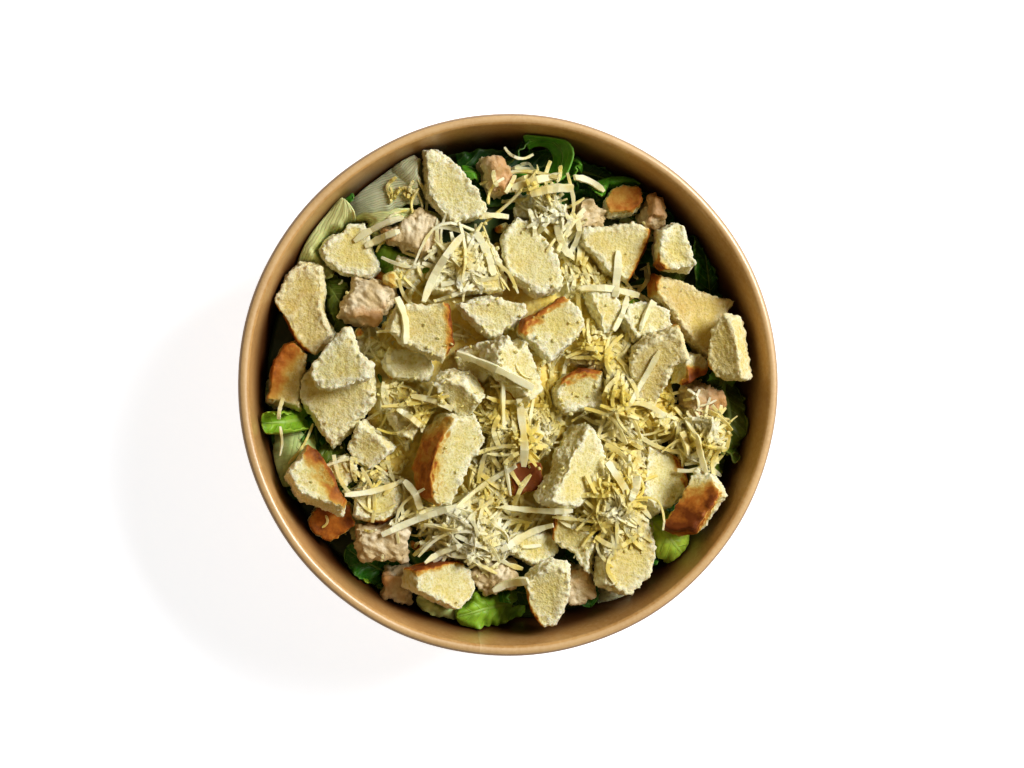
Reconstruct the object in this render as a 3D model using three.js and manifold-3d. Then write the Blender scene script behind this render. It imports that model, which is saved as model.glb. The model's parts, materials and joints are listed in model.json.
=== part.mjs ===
// Chicken caesar salad in a round bowl of brown paper.
//
// Millimetres, +Z up. The origin is on the table, under the middle of the bowl.
// The bowl is filled with lettuce, and torn croutons, chopped chicken and shreds
// of hard cheese lie on top. Each crouton and each piece of chicken is a solid of
// its own, settled onto what lies below it. The lettuce is one body, a heap with
// thin leaves grown out of it, and each bunch of cheese shreds is one body too.

import * as THREE from 'three';
import { mergeVertices } from 'three/addons/utils/BufferGeometryUtils.js';
import Module from 'manifold-3d';

const wasm = await Module();
wasm.setup();

// Driving dimensions: the bowl.
const RIM_DIAMETER = 150;
const FOOT_DIAMETER = 128;
const BOWL_HEIGHT = 60;
const WALL = 0.9;
const RIM_ROLL = 3;
const FOOT_WIDTH = 1.8;
const BASE_LIFT = 6;
const BASE_THICKNESS = 1;
const BOWL_SIDES = 64;

// Driving dimensions: the filling.
const GAP = 0.35;
const HEAP_EDGE_HEIGHT = 37;
const HEAP_MIDDLE_HEIGHT = 43;
const HEAP_LUMP = 1.2;
const HEAP_SIDES = 36;
const HEAP_RINGS = 6;
const MOUNDS = [
  { x: -15, y: 55, rise: 6, spread: 12 },
  { x: 47, y: 38, rise: 7, spread: 9 },
  { x: 12, y: 15, rise: 4, spread: 12 },
  { x: 40, y: 5, rise: 6, spread: 14 },
  { x: 31, y: -46, rise: 7, spread: 14 },
];
const LEAF_THICKNESS = 0.8;
const SHRED_WIDTH = 1.9;
const SHRED_THICKNESS = 1.1;

// How pieces settle: the grid that the heights are kept on, the furthest that a
// piece slides sideways, the steepest that it comes to rest, and how much of its
// length and width carries it. What lies outside that gives way to its neighbours.
const CELL = 0.8;
const SLIDE = 1.5;
const STEEPEST = 0.5;
const CARRIED = 0.75;

const degrees = (value) => THREE.MathUtils.degToRad(value);
const lerp = THREE.MathUtils.lerp;

// The inside of the wall is a straight cone from the foot to the rim.
function innerRadius(z) {
  const foot = FOOT_DIAMETER / 2 - WALL;
  const rim = RIM_DIAMETER / 2 - RIM_ROLL;
  return lerp(foot, rim, z / (BOWL_HEIGHT - RIM_ROLL / 2));
}

// A repeatable stream of numbers from 0 to 1.
function draws(seed) {
  let state = seed * 7919 + 17;
  return () => {
    state = (state * 1664525 + 1013904223) % 4294967296;
    return state / 4294967296;
  };
}

// ---------------------------------------------------------------- solids

function geometryFrom(points, triangles) {
  const geometry = new THREE.BufferGeometry();
  geometry.setAttribute('position', new THREE.Float32BufferAttribute(points.flatMap((p) => p.toArray()), 3));
  geometry.setIndex(triangles.flat());
  return geometry;
}

function solidOf(geometry) {
  const bare = geometry.clone();
  bare.deleteAttribute('normal');
  bare.deleteAttribute('uv');
  const merged = mergeVertices(bare, 1e-4);
  const vertProperties = new Float32Array(merged.attributes.position.array);
  const triVerts = new Uint32Array(merged.index.array);
  return new wasm.Manifold(new wasm.Mesh({ numProp: 3, vertProperties, triVerts }));
}

function geometryOf(solid) {
  const mesh = solid.getMesh();
  const geometry = new THREE.BufferGeometry();
  geometry.setAttribute('position', new THREE.Float32BufferAttribute(mesh.vertProperties, 3));
  geometry.setIndex([...mesh.triVerts]);
  return geometry;
}

// Joining and cutting can leave crumbs behind, and only the largest body is kept.
function largestBody(solid) {
  const bodies = solid.decompose();
  return bodies.reduce((best, body) => (body.volume() > best.volume() ? body : best));
}

// A closed skin over rings of points that run anticlockwise seen from the last ring.
function loft(rings, firstCentre, lastCentre) {
  const count = rings[0].length;
  const points = [...rings.flat(), firstCentre, lastCentre];
  const first = points.length - 2;
  const last = points.length - 1;
  const top = (rings.length - 1) * count;
  const triangles = [];
  for (let side = 0; side < count; side += 1) {
    const next = (side + 1) % count;
    for (let ring = 0; ring < rings.length - 1; ring += 1) {
      const low = ring * count;
      const high = low + count;
      triangles.push([low + side, low + next, high + next]);
      triangles.push([low + side, high + next, high + side]);
    }
    triangles.push([first, next, side]);
    triangles.push([last, top + side, top + next]);
  }
  return geometryFrom(points, triangles);
}

// A thin sheet between two copies of a grid of points, with both faces split alike.
function sheet(grid, thickness) {
  const rows = grid.length;
  const columns = grid[0].length;
  const at = (row, column) => {
    const r = THREE.MathUtils.clamp(row, 0, rows - 1);
    const c = THREE.MathUtils.clamp(column, 0, columns - 1);
    return grid[r][c];
  };
  const upper = [];
  const lower = [];
  for (let row = 0; row < rows; row += 1) {
    for (let column = 0; column < columns; column += 1) {
      const along = at(row + 1, column).clone().sub(at(row - 1, column));
      const across = at(row, column + 1).clone().sub(at(row, column - 1));
      const normal = along.cross(across).normalize().multiplyScalar(thickness / 2);
      upper.push(at(row, column).clone().add(normal));
      lower.push(at(row, column).clone().sub(normal));
    }
  }
  const under = rows * columns;
  const triangles = [];
  for (let row = 0; row < rows - 1; row += 1) {
    for (let column = 0; column < columns - 1; column += 1) {
      const a = row * columns + column;
      const b = a + columns;
      triangles.push([a, b, b + 1], [a, b + 1, a + 1]);
      triangles.push([under + a, under + b + 1, under + b], [under + a, under + a + 1, under + b + 1]);
    }
  }
  const edge = [];
  for (let row = 0; row < rows - 1; row += 1) edge.push(row * columns);
  for (let column = 0; column < columns - 1; column += 1) edge.push((rows - 1) * columns + column);
  for (let row = rows - 1; row > 0; row -= 1) edge.push(row * columns + columns - 1);
  for (let column = columns - 1; column > 0; column -= 1) edge.push(column);
  edge.forEach((a, place) => {
    const b = edge[(place + 1) % edge.length];
    triangles.push([a, under + a, under + b], [a, under + b, b]);
  });
  return geometryFrom([...upper, ...lower], triangles);
}

// ---------------------------------------------------------------- the heights to rest on

// A grid of heights over the bowl, which grows as pieces are laid on it.
class Heights {
  constructor(heightAt) {
    this.across = 2 * Math.ceil(RIM_DIAMETER / 2 / CELL) + 1;
    this.values = new Float32Array(this.across * this.across);
    for (let index = 0; index < this.values.length; index += 1) {
      const [x, y] = this.place(index);
      this.values[index] = heightAt(x, y);
    }
  }

  place(index) {
    const middle = (this.across - 1) / 2;
    const x = ((index % this.across) - middle) * CELL;
    const y = (Math.floor(index / this.across) - middle) * CELL;
    return [x, y];
  }

  index(x, y) {
    const middle = (this.across - 1) / 2;
    const column = THREE.MathUtils.clamp(Math.round(x / CELL) + middle, 1, this.across - 2);
    const row = THREE.MathUtils.clamp(Math.round(y / CELL) + middle, 1, this.across - 2);
    return row * this.across + column;
  }

  // The highest of a cell and its neighbours, so that pieces stay clear sideways too.
  near(index) {
    let best = -Infinity;
    for (const row of [-this.across, 0, this.across]) {
      for (const column of [-1, 0, 1]) {
        best = Math.max(best, this.values[index + row + column]);
      }
    }
    return best;
  }

  // Visits every cell under every triangle with the triangle's height there.
  scan(geometry, visit) {
    const position = geometry.attributes.position;
    const order = geometry.index.array;
    const [a, b, c] = [new THREE.Vector3(), new THREE.Vector3(), new THREE.Vector3()];
    for (let start = 0; start < order.length; start += 3) {
      a.fromBufferAttribute(position, order[start]);
      b.fromBufferAttribute(position, order[start + 1]);
      c.fromBufferAttribute(position, order[start + 2]);
      const area = (b.x - a.x) * (c.y - a.y) - (c.x - a.x) * (b.y - a.y);
      if (Math.abs(area) < 1e-6) continue;
      const low = this.index(Math.min(a.x, b.x, c.x), Math.min(a.y, b.y, c.y));
      const high = this.index(Math.max(a.x, b.x, c.x), Math.max(a.y, b.y, c.y));
      const columns = (high % this.across) - (low % this.across);
      for (let row = low; row <= high; row += this.across) {
        for (let index = row; index <= row + columns; index += 1) {
          const [x, y] = this.place(index);
          const u = ((b.x - x) * (c.y - y) - (c.x - x) * (b.y - y)) / area;
          const v = ((c.x - x) * (a.y - y) - (a.x - x) * (c.y - y)) / area;
          const w = 1 - u - v;
          if (Math.min(u, v, w) >= -1e-6) visit(index, u * a.z + v * b.z + w * c.z);
        }
      }
    }
  }

  // How far up a piece has to go to be a gap away from what lies below it.
  lift(geometry) {
    let lift = -Infinity;
    this.scan(geometry, (index, z) => {
      lift = Math.max(lift, this.near(index) - z);
    });
    return lift + GAP;
  }

  cover(geometry) {
    this.scan(geometry, (index, z) => {
      this.values[index] = Math.max(this.values[index], z);
    });
  }
}

// ---------------------------------------------------------------- bowl

// One turned profile: the base disc held up inside the foot, the folded foot, the
// wall, and the edge rolled outwards over itself.
function bowl() {
  const rollRadius = RIM_ROLL / 2;
  const rollCentre = new THREE.Vector2(RIM_DIAMETER / 2 - rollRadius, BOWL_HEIGHT - rollRadius);
  const baseTop = BASE_LIFT + BASE_THICKNESS;
  const footInside = FOOT_DIAMETER / 2 - FOOT_WIDTH;
  const profile = [
    new THREE.Vector2(0, BASE_LIFT),
    new THREE.Vector2(footInside, BASE_LIFT),
    new THREE.Vector2(footInside, 0),
    new THREE.Vector2(FOOT_DIAMETER / 2, 0),
  ];
  for (let turn = -108; turn <= 180; turn += 48) {
    const roll = new THREE.Vector2(rollRadius, 0).rotateAround(new THREE.Vector2(), degrees(turn));
    profile.push(roll.add(rollCentre));
  }
  profile.push(new THREE.Vector2(innerRadius(baseTop), baseTop));
  profile.push(new THREE.Vector2(0, baseTop));
  return new THREE.LatheGeometry(profile, BOWL_SIDES).rotateX(Math.PI / 2);
}

// ---------------------------------------------------------------- lettuce

// The bare heap: a low dome with soft lumps and a few mounds.
function heapHeight(x, y) {
  const reach = Math.min(1, Math.hypot(x, y) / innerRadius(HEAP_EDGE_HEIGHT));
  const lumps = Math.sin(x / 6.1 + 1.3) * Math.cos(y / 7.3 - 0.6) + 0.6 * Math.sin((x + y) / 4.3);
  const mounds = MOUNDS.map((mound) =>
    mound.rise * Math.exp(-(((x - mound.x) ** 2 + (y - mound.y) ** 2) / mound.spread ** 2)));
  const dome = lerp(HEAP_MIDDLE_HEIGHT, HEAP_EDGE_HEIGHT, reach * reach);
  return dome + HEAP_LUMP * lumps + mounds.reduce((sum, mound) => sum + mound, 0);
}

function heap() {
  const floor = BASE_LIFT + BASE_THICKNESS + GAP;
  const edge = innerRadius(HEAP_EDGE_HEIGHT - 2 * HEAP_LUMP) - GAP;
  const profile = [new THREE.Vector2(0, floor), new THREE.Vector2(innerRadius(floor) - GAP, floor)];
  for (let ring = HEAP_RINGS; ring >= 0; ring -= 1) {
    profile.push(new THREE.Vector2((edge * ring) / HEAP_RINGS, HEAP_EDGE_HEIGHT));
  }
  const geometry = new THREE.LatheGeometry(profile, HEAP_SIDES).rotateX(Math.PI / 2);
  const position = geometry.attributes.position;
  for (let index = 0; index < position.count; index += 1) {
    const x = position.getX(index);
    const y = position.getY(index);
    if (position.getZ(index) > floor + 1) position.setZ(index, heapHeight(x, y));
  }
  return geometry;
}

// What the lettuce may fill: the inside of the bowl, a gap away from the wall.
function room() {
  const floor = BASE_LIFT + BASE_THICKNESS + GAP / 2;
  const top = BOWL_HEIGHT + 10;
  const profile = [
    new THREE.Vector2(0, floor),
    new THREE.Vector2(innerRadius(floor) - GAP, floor),
    new THREE.Vector2(innerRadius(top) - GAP, top),
    new THREE.Vector2(0, top),
  ];
  return new THREE.LatheGeometry(profile, HEAP_SIDES).rotateX(Math.PI / 2);
}

// The leaves that show, with the middle of the stem end, the way the leaf runs and
// its size. lift is how far the middle of the leaf stands over the heap, roll wraps
// it across its width, in degrees from edge to edge, tip raises its far end, and
// frill is the depth of the waves along its edges.
const LEAVES = [
  // dark curled leaves along the far side
  { x: -13, y: 63, turn: 8, length: 30, width: 17, lift: 5, roll: 150, tip: 2, frill: 1.6 },
  { x: 11, y: 65, turn: -14, length: 24, width: 14, lift: 4, roll: 190, tip: 1, frill: 1.2 },
  { x: 26, y: 59, turn: -30, length: 24, width: 13, lift: 4, roll: 90, tip: 1, frill: 1.8 },
  // pale ribs at the upper left, two across and one that bends down
  { x: -42, y: 46, turn: 44, length: 28, width: 12, lift: 5, roll: 50, tip: 2, frill: 0.6 },
  { x: -50, y: 47, turn: 22, length: 26, width: 9, lift: 6, roll: 40, tip: 1, frill: 0.4 },
  { x: -61, y: 31, turn: 38, length: 38, width: 17, lift: 7, roll: 40, tip: 3, frill: 1.0 },
  // green between the pieces at the upper left
  { x: -38, y: 30, turn: 20, length: 20, width: 12, lift: 6, roll: 60, tip: 1, frill: 1.2 },
  // light leaf that curls up against the left wall
  { x: -58, y: -30, turn: 106, length: 26, width: 20, lift: 6, roll: 120, tip: 5, frill: 1.4 },
  // dark leaves by the right wall
  { x: 61, y: 24, turn: 100, length: 22, width: 10, lift: 4, roll: 60, tip: 1, frill: 1.6 },
  { x: 66, y: 2, turn: -94, length: 22, width: 14, lift: 5, roll: 80, tip: 1, frill: 2.0 },
  { x: 65, y: -14, turn: -112, length: 20, width: 14, lift: 5, roll: 70, tip: 1, frill: 2.0 },
  // bright leaves at the lower right, at the bottom and at the lower left
  { x: 51, y: -40, turn: -118, length: 22, width: 14, lift: 6, roll: 110, tip: 2, frill: 1.2 },
  { x: 12, y: -64, turn: 182, length: 30, width: 14, lift: 6, roll: 90, tip: 2, frill: 1.8 },
  { x: -9, y: -61, turn: 200, length: 22, width: 12, lift: 5, roll: 60, tip: 1, frill: 1.4 },
  { x: -32, y: -57, turn: 150, length: 20, width: 11, lift: 3, roll: 60, tip: 1, frill: 1.2 },
];
const LEAF_ROWS = 6;
const LEAF_COLUMNS = 5;
const LEAF_WAVES = 2.5;

function leaf({ x, y, turn, length, width, lift, roll, tip, frill }) {
  const forward = new THREE.Vector2(Math.cos(degrees(turn)), Math.sin(degrees(turn)));
  const sideways = new THREE.Vector2(-forward.y, forward.x);
  const grid = [];
  for (let row = 0; row < LEAF_ROWS; row += 1) {
    const u = row / (LEAF_ROWS - 1);
    const halfWidth = (width / 2) * Math.sin(Math.PI * lerp(0.16, 0.9, u)) ** 0.6;
    const radius = width / degrees(roll);
    const line = [];
    for (let column = 0; column < LEAF_COLUMNS; column += 1) {
      const v = lerp(-1, 1, column / (LEAF_COLUMNS - 1));
      const angle = (v * halfWidth) / radius;
      const wave = frill * v * v * Math.sin(Math.PI * LEAF_WAVES * (u + 0.2 * v) * 2 + x);
      const side = radius * Math.sin(angle);
      const place = new THREE.Vector2(x, y)
        .addScaledVector(forward, u * length)
        .addScaledVector(sideways, side);
      const rise = lift * Math.sin(Math.PI * Math.min(1, u * 1.4) * 0.5) + tip * u * u;
      const curl = radius * (1 - Math.cos(angle));
      const z = heapHeight(place.x, place.y) - 1 + rise + curl + wave;
      line.push(new THREE.Vector3(place.x, place.y, z));
    }
    grid.push(line);
  }
  return sheet(grid, LEAF_THICKNESS);
}

function lettuce(toppings) {
  let solid = solidOf(heap());
  for (const place of LEAVES) solid = solid.add(solidOf(leaf(place)));
  solid = solid.intersect(solidOf(room()));
  for (const topping of toppings) solid = solid.subtract(solidOf(grown(topping)));
  return geometryOf(largestBody(solid));
}

// ---------------------------------------------------------------- croutons and chicken

// Torn bread, in the order in which it is laid down. corners are where the corners of
// a piece lie in the bowl, seen from above. tilt, where it is given, is the way the
// upper face leans and by how much, in degrees; other pieces lie as they come to rest.
// lift is how far a piece is propped up by the leaves under it.
const CROUTONS = [
  { thick: 9, corners: [[27.5, 46.5], [34.5, 47], [37, 50], [37.5, 53.5],
    [36, 55.5], [28, 54], [26, 50.5]] },
  { thick: 10, corners: [[-66, 7], [-68, -5], [-58.5, -7], [-58, 0],
    [-56.5, 8.5], [-59.5, 12.5], [-63, 11.5]] },
  { thick: 8, corners: [[-58, -39], [-56.5, -42], [-52, -45], [-44, -40], [-46, -34], [-54, -33]] },
  { thick: 8, corners: [[-33, 1.5], [-23, 1], [-21, 4.5], [-23, 9], [-34.5, 10], [-36, 6.5]] },
  { thick: 8, corners: [[0.5, -31.5], [9.5, -29.5], [9, -21.5], [0, -22]] },
  { thick: 8, corners: [[-2, -46], [7, -51.5], [12, -49.5], [14.5, -47], [11.5, -42], [-1.5, -41]] },
  { thick: 8, corners: [[46.5, 0], [54, 3], [56, 6.5], [51.5, 9], [46, 8]] },
  { thick: 8, corners: [[-11, 0], [-1, 3], [-4, 13], [-14, 9.5]] },
  { thick: 9, corners: [[23, 17], [23.5, 12], [27, 12], [31, 19], [28, 25], [19.5, 25]] },
  { thick: 9, corners: [[-44, -38.5], [-35.5, -41], [-31, -37], [-30, -33], [-32, -29.5], [-43, -30.5]] },
  { thick: 8, corners: [[-31, -14], [-27.5, -15.5], [-22.5, -7.5],
    [-23.5, -3.5], [-26.5, -1.5], [-34.5, -8]] },
  { thick: 9, corners: [[40, 25.5], [56, 6.5], [59.5, 11.5], [59, 18], [64.5, 24.5],
    [52.5, 27.5], [48, 30.5], [40.5, 31.5], [39, 29.5]] },
  { thick: 9, tilt: [185, 36], corners: [[59, 5.5], [62, 2], [70, 1.5], [67, 19], [64, 21], [60, 16]] },
  { thick: 11, corners: [[41, 34], [42.5, 32], [51, 32], [52, 34], [49, 44.5], [46.5, 46], [41.5, 44]] },
  { thick: 9, corners: [[31.5, 19.5], [35, 13], [46, 16], [45, 22], [37.5, 25], [32.5, 23]] },
  { thick: 9, corners: [[-58, 3], [-59, -3.5], [-49.5, -19], [-38, -5],
    [-36.5, -0.5], [-38, 5], [-45.5, 9.5], [-54, 7]] },
  { thick: 10, corners: [[-60.5, 33.5], [-65.5, 23.5], [-57.5, 10], [-54, 8], [-51, 10],
    [-48.5, 13.5], [-51.5, 20.5], [-52, 33], [-58, 34.5]] },
  { thick: 11, tilt: [70, 18], corners: [[-61.5, -26.5], [-57.5, -32.5], [-45.5, -37.5],
    [-44, -35], [-52, -20], [-55, -18.5]] },
  { thick: 9, corners: [[29, 32], [35.5, 29], [42, 40.5], [41.5, 44], [37, 46], [22, 44.5], [21, 40.5]] },
  { thick: 9, corners: [[-1.5, 25.5], [-0.5, 29], [-3.5, 37.5], [-8, 43], [-18, 39.5], [-23.5, 26]] },
  { thick: 10, corners: [[36, -32.5], [40.5, -38.5], [50, -32.5],
    [51.5, -29], [49, -21.5], [39.5, -17]] },
  { thick: 10, corners: [[12.5, -45], [19.5, -49.5], [23, -55], [25.5, -45],
    [20.5, -38], [16.5, -36.5], [13, -38]] },
  { thick: 11, tilt: [150, 28], lift: 2, corners: [[46, -41], [48, -42.5], [55, -42.5], [63, -32],
    [60.5, -26], [56, -24], [50, -34.5]] },
  { thick: 10, corners: [[-30.5, -56.5], [-16.5, -63], [-11.5, -60.5], [-9.5, -54.5],
    [-12, -51], [-17, -49], [-31, -50.5]] },
  { thick: 9, corners: [[4, -54.5], [5.5, -63.5], [9.5, -68], [13, -68],
    [17, -58], [16.5, -50.5], [12, -48.5], [9, -49.5]] },
  { thick: 9, corners: [[-24, 53], [-16, 44], [-6.5, 47], [-6, 49.5],
    [-14.5, 61], [-21, 66], [-24.5, 65.5]] },
  { thick: 9, corners: [[0.5, 29], [9.5, 22], [17, 25], [14.5, 36], [7, 44.5], [3.5, 46.5], [-1.5, 40]] },
  { thick: 9, corners: [[-50, 32.5], [-45.5, 29.5], [-37, 28], [-34, 30], [-39, 44],
    [-43.5, 44], [-44.5, 42], [-49, 40], [-52, 36.5]] },
  { thick: 10, corners: [[-34.5, 14], [-31, 10], [-19.5, 4.5], [-16.5, 9.5], [-17.5, 21], [-32.5, 20.5]] },
  { thick: 9, corners: [[-6.5, 14.5], [-3.5, 14.5], [6, 22], [4.5, 24], [-6, 26.5], [-15.5, 24]] },
  { thick: 10, corners: [[10.5, 6], [19, 13.5], [21, 17.5], [19, 21.5], [14.5, 25], [3, 18], [1.5, 14]] },
  { thick: 9, corners: [[-6.5, 7.5], [5, -4], [10.5, -1], [4, 15], [1.5, 11.5], [-2.5, 15.5], [-7, 10.5]] },
  { thick: 10, corners: [[12.5, -4], [15.5, -6.5], [26.5, -5], [26, 5.5],
    [20.5, 6.5], [15.5, 4.5], [12.5, 0.5]] },
  { thick: 9, corners: [[-13, -6], [-10, -6.5], [-5.5, -1], [-11, 4.5], [-16, 5.5], [-20, 3.5]] },
  { thick: 10, corners: [[-44, -15.5], [-42, -18.5], [-36.5, -22.5], [-30, -16], [-40, -7.5]] },
  { thick: 11, tilt: [-20, 24], corners: [[-24.5, -16], [-26.5, -24], [-25.5, -30.5], [-22, -33.5],
    [-18, -33.5], [-13.5, -22.5], [-8, -14.5], [-11.5, -6.5], [-19, -7]] },
  { thick: 10, corners: [[11.5, -18.5], [11, -21.5], [5, -30.5], [10.5, -33.5], [15, -32.5],
    [25, -24], [26, -20.5], [20.5, -10], [18.5, -9.5]] },
  { thick: 10, corners: [[23, -47], [22.5, -56.5], [31.5, -59.5], [38, -52.5],
    [39.5, -47.5], [36, -35.5], [33.5, -32.5], [28, -36]] },
  { thick: 7, corners: [[37.5, 15.5], [33.5, 12.5], [32.5, 6.5], [34, -0.5], [40, -8],
    [46, 7.5], [50.5, 9.5], [48.5, 17], [46.5, 18.5]] },
  { thick: 8, corners: [[-54.5, 6], [-55, 2.5], [-53, -1], [-47, -2], [-38.5, 2],
    [-38, 5.5], [-42, 9], [-44, 16], [-46, 16.5]] },
];

// Chopped chicken, given in the same way.
const CHICKEN = [
  { thick: 9, corners: [[19.5, 45], [27, 44.5], [28, 49], [23, 53.5], [19, 52.5]] },
  { thick: 9, corners: [[39.5, 46], [45, 46], [45.5, 52.5], [41.5, 55.5], [39.5, 51.5]] },
  { thick: 10, corners: [[-6.5, 52], [-3.5, 51.5], [-0.5, 55.5], [-5, 63], [-10.5, 62.5]] },
  { thick: 9, corners: [[-42, -49], [-35.5, -48], [-28.5, -49], [-28.5, -40], [-32, -39], [-43, -39.5]] },
  { thick: 8, corners: [[-34.5, -58.5], [-27, -61], [-25.5, -55], [-27, -51], [-34, -52]] },
  { thick: 9, corners: [[-10, -53], [-6, -58], [2.5, -54.5], [2, -49], [-4, -47.5], [-10, -49]] },
  { thick: 8, corners: [[18, -59], [23, -61], [27, -57.5], [25, -51], [18, -51]] },
  { thick: 8, corners: [[14, 43], [17.5, 42], [19.5, 45], [19, 50], [14.5, 50]] },
  { thick: 11, corners: [[50, -6.5], [53.5, -8.5], [58.5, -8.5], [60.5, -5],
    [59.5, -0.5], [55, 2.5], [49.5, 1.5]] },
  { thick: 11, corners: [[-34.5, 38], [-25, 35], [-21, 34.5], [-18.5, 41.5],
    [-21, 45.5], [-25, 47], [-36, 41.5]] },
  { thick: 11, corners: [[-48.5, 18.5], [-38, 16], [-32, 23.5], [-32, 27.5], [-38, 29.5], [-44, 29.5]] },
];

// The middle of a piece is the widest, and both faces are drawn in and a little
// uneven. A torn edge that is longer than this has a point halfway along it too.
const BREAD = { levels: [-0.5, -0.1, 0.5], reach: [0.88, 1, 0.92], ragged: 0.07, hollow: -0.06 };
const MEAT = { levels: [-0.5, 0.1, 0.5], reach: [0.9, 1, 0.84], ragged: 0.04, hollow: 0.08 };
const LONG_EDGE = 10;

// The middle of a piece, and its outline round that middle.
function planOf({ corners }) {
  const points = corners.map(([x, y]) => new THREE.Vector2(x, y));
  const middle = new THREE.Vector2();
  for (const point of points) middle.addScaledVector(point, 1 / points.length);
  const edge = points.flatMap((point, place) => {
    const next = points[(place + 1) % points.length];
    return point.distanceTo(next) > LONG_EDGE ? [point, point.clone().lerp(next, 0.5)] : [point];
  });
  return { middle, edge: edge.map((point) => point.clone().sub(middle)) };
}

function chunk({ thick }, edge, grain, seed) {
  const draw = draws(seed);
  const uneven = () => 1 + grain.ragged * (2 * draw() - 1);
  const rings = grain.levels.map((level, ring) =>
    edge.map((point) => {
      const reach = grain.reach[ring] * uneven();
      const z = thick * (level + 0.5 * grain.ragged * (2 * draw() - 1));
      return new THREE.Vector3(point.x * reach, point.y * reach, z);
    }));
  const half = thick * (0.5 + grain.hollow);
  return loft(rings, new THREE.Vector3(0, 0, -half), new THREE.Vector3(0, 0, half));
}

// The lowest way in which a piece can lie, given as its tilt and the slide to it.
function settledTilt(middle, edge, heights) {
  const samples = edge.flatMap((point) => [1, 0.6, 0.25].map((part) =>
    point.clone().multiplyScalar(CARRIED * part)));
  const slides = [-SLIDE, 0, SLIDE];
  const slopes = [-1, -0.6, -0.3, 0, 0.3, 0.6, 1].map((part) => part * STEEPEST);
  let best = { cost: Infinity };
  for (const slideX of slides) {
    for (const slideY of slides) {
      const floor = samples.map((point) => {
        const index = heights.index(middle.x + slideX + point.x, middle.y + slideY + point.y);
        return { point, z: heights.near(index) };
      });
      for (const slopeX of slopes) {
        for (const slopeY of slopes) {
          const height = Math.max(...floor.map(({ point, z }) => z - slopeX * point.x - slopeY * point.y));
          const cost = height + 0.25 * Math.hypot(slideX, slideY) + 1.5 * Math.hypot(slopeX, slopeY);
          if (cost < best.cost) best = { cost, slideX, slideY, slopeX, slopeY };
        }
      }
    }
  }
  return best;
}

// Turns the upper face so that it leans towards a bearing.
function leaning(bearing, angle) {
  const axis = new THREE.Vector3(-Math.sin(degrees(bearing)), Math.cos(degrees(bearing)), 0);
  return new THREE.Matrix4().makeRotationAxis(axis, degrees(angle));
}

// Lays a piece on the heap, moves it in from the wall where it would touch it, and
// takes off what would run into the pieces laid before it.
function settle(piece, grain, seed, heights, laid) {
  const { middle, edge } = planOf(piece);
  const rest = settledTilt(middle, edge, heights);
  const downhill = THREE.MathUtils.radToDeg(Math.atan2(-rest.slopeY, -rest.slopeX));
  const steepness = THREE.MathUtils.radToDeg(Math.atan(Math.hypot(rest.slopeX, rest.slopeY)));
  const [bearing, angle] = piece.tilt ?? [downhill, steepness];
  const geometry = chunk(piece, edge, grain, seed);
  geometry.applyMatrix4(leaning(bearing, angle));
  const place = new THREE.Vector3(middle.x + rest.slideX, middle.y + rest.slideY, 0);
  for (let attempt = 0; attempt < 4; attempt += 1) {
    const carried = geometry.clone().scale(CARRIED, CARRIED, 1).translate(place.x, place.y, 0);
    place.z = heights.lift(carried) + (piece.lift ?? 0);
    const inward = awayFromWall(geometry.clone().translate(place.x, place.y, place.z));
    if (inward.length() < 0.01) break;
    place.add(inward);
  }
  geometry.translate(place.x, place.y, place.z);
  const settled = trimmed(geometry, laid);
  heights.cover(settled);
  laid.push(geometry);
  return settled;
}

function trimmed(geometry, others) {
  geometry.computeBoundingBox();
  let solid = solidOf(geometry);
  for (const other of others) {
    const larger = grown(other);
    larger.computeBoundingBox();
    if (larger.boundingBox.intersectsBox(geometry.boundingBox)) solid = solid.subtract(solidOf(larger));
  }
  return geometryOf(largestBody(solid));
}

function awayFromWall(geometry) {
  const position = geometry.attributes.position;
  const inward = new THREE.Vector3();
  for (let index = 0; index < position.count; index += 1) {
    const radius = Math.hypot(position.getX(index), position.getY(index));
    const over = radius - (innerRadius(position.getZ(index)) - 2 * GAP);
    if (over > inward.length()) {
      inward.set(-position.getX(index), -position.getY(index), 0).setLength(over + 0.1);
    }
  }
  return inward;
}

// The same piece, larger by the gap all round.
function grown(geometry) {
  geometry.computeBoundingBox();
  const size = geometry.boundingBox.getSize(new THREE.Vector3());
  const centre = geometry.boundingBox.getCenter(new THREE.Vector3());
  const scale = new THREE.Vector3(1, 1, 1).addScaledVector(
    new THREE.Vector3(1 / size.x, 1 / size.y, 1 / size.z), 3 * GAP);
  const larger = geometry.clone();
  larger.translate(-centre.x, -centre.y, -centre.z);
  larger.scale(scale.x, scale.y, scale.z);
  return larger.translate(centre.x, centre.y, centre.z);
}

// ---------------------------------------------------------------- cheese

// Bunches of cheese shreds: the middle of each bunch, how far it spreads and how
// many shreds it has.
const CHEESE = [
  { x: -14, y: 34, spread: 12, shreds: 7 },
  { x: 14, y: 44, spread: 12, shreds: 6 },
  { x: 33, y: 1, spread: 14, shreds: 8 },
  { x: 0, y: -14, spread: 12, shreds: 7 },
  { x: -12, y: -42, spread: 15, shreds: 9 },
  { x: 29, y: -32, spread: 13, shreds: 8 },
  { x: 54, y: -15, spread: 9, shreds: 5 },
];
const SHRED_LENGTHS = [7, 17];
const SHRED_SAMPLES = 6;
const STEEPEST_SHRED = 0.75;

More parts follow.
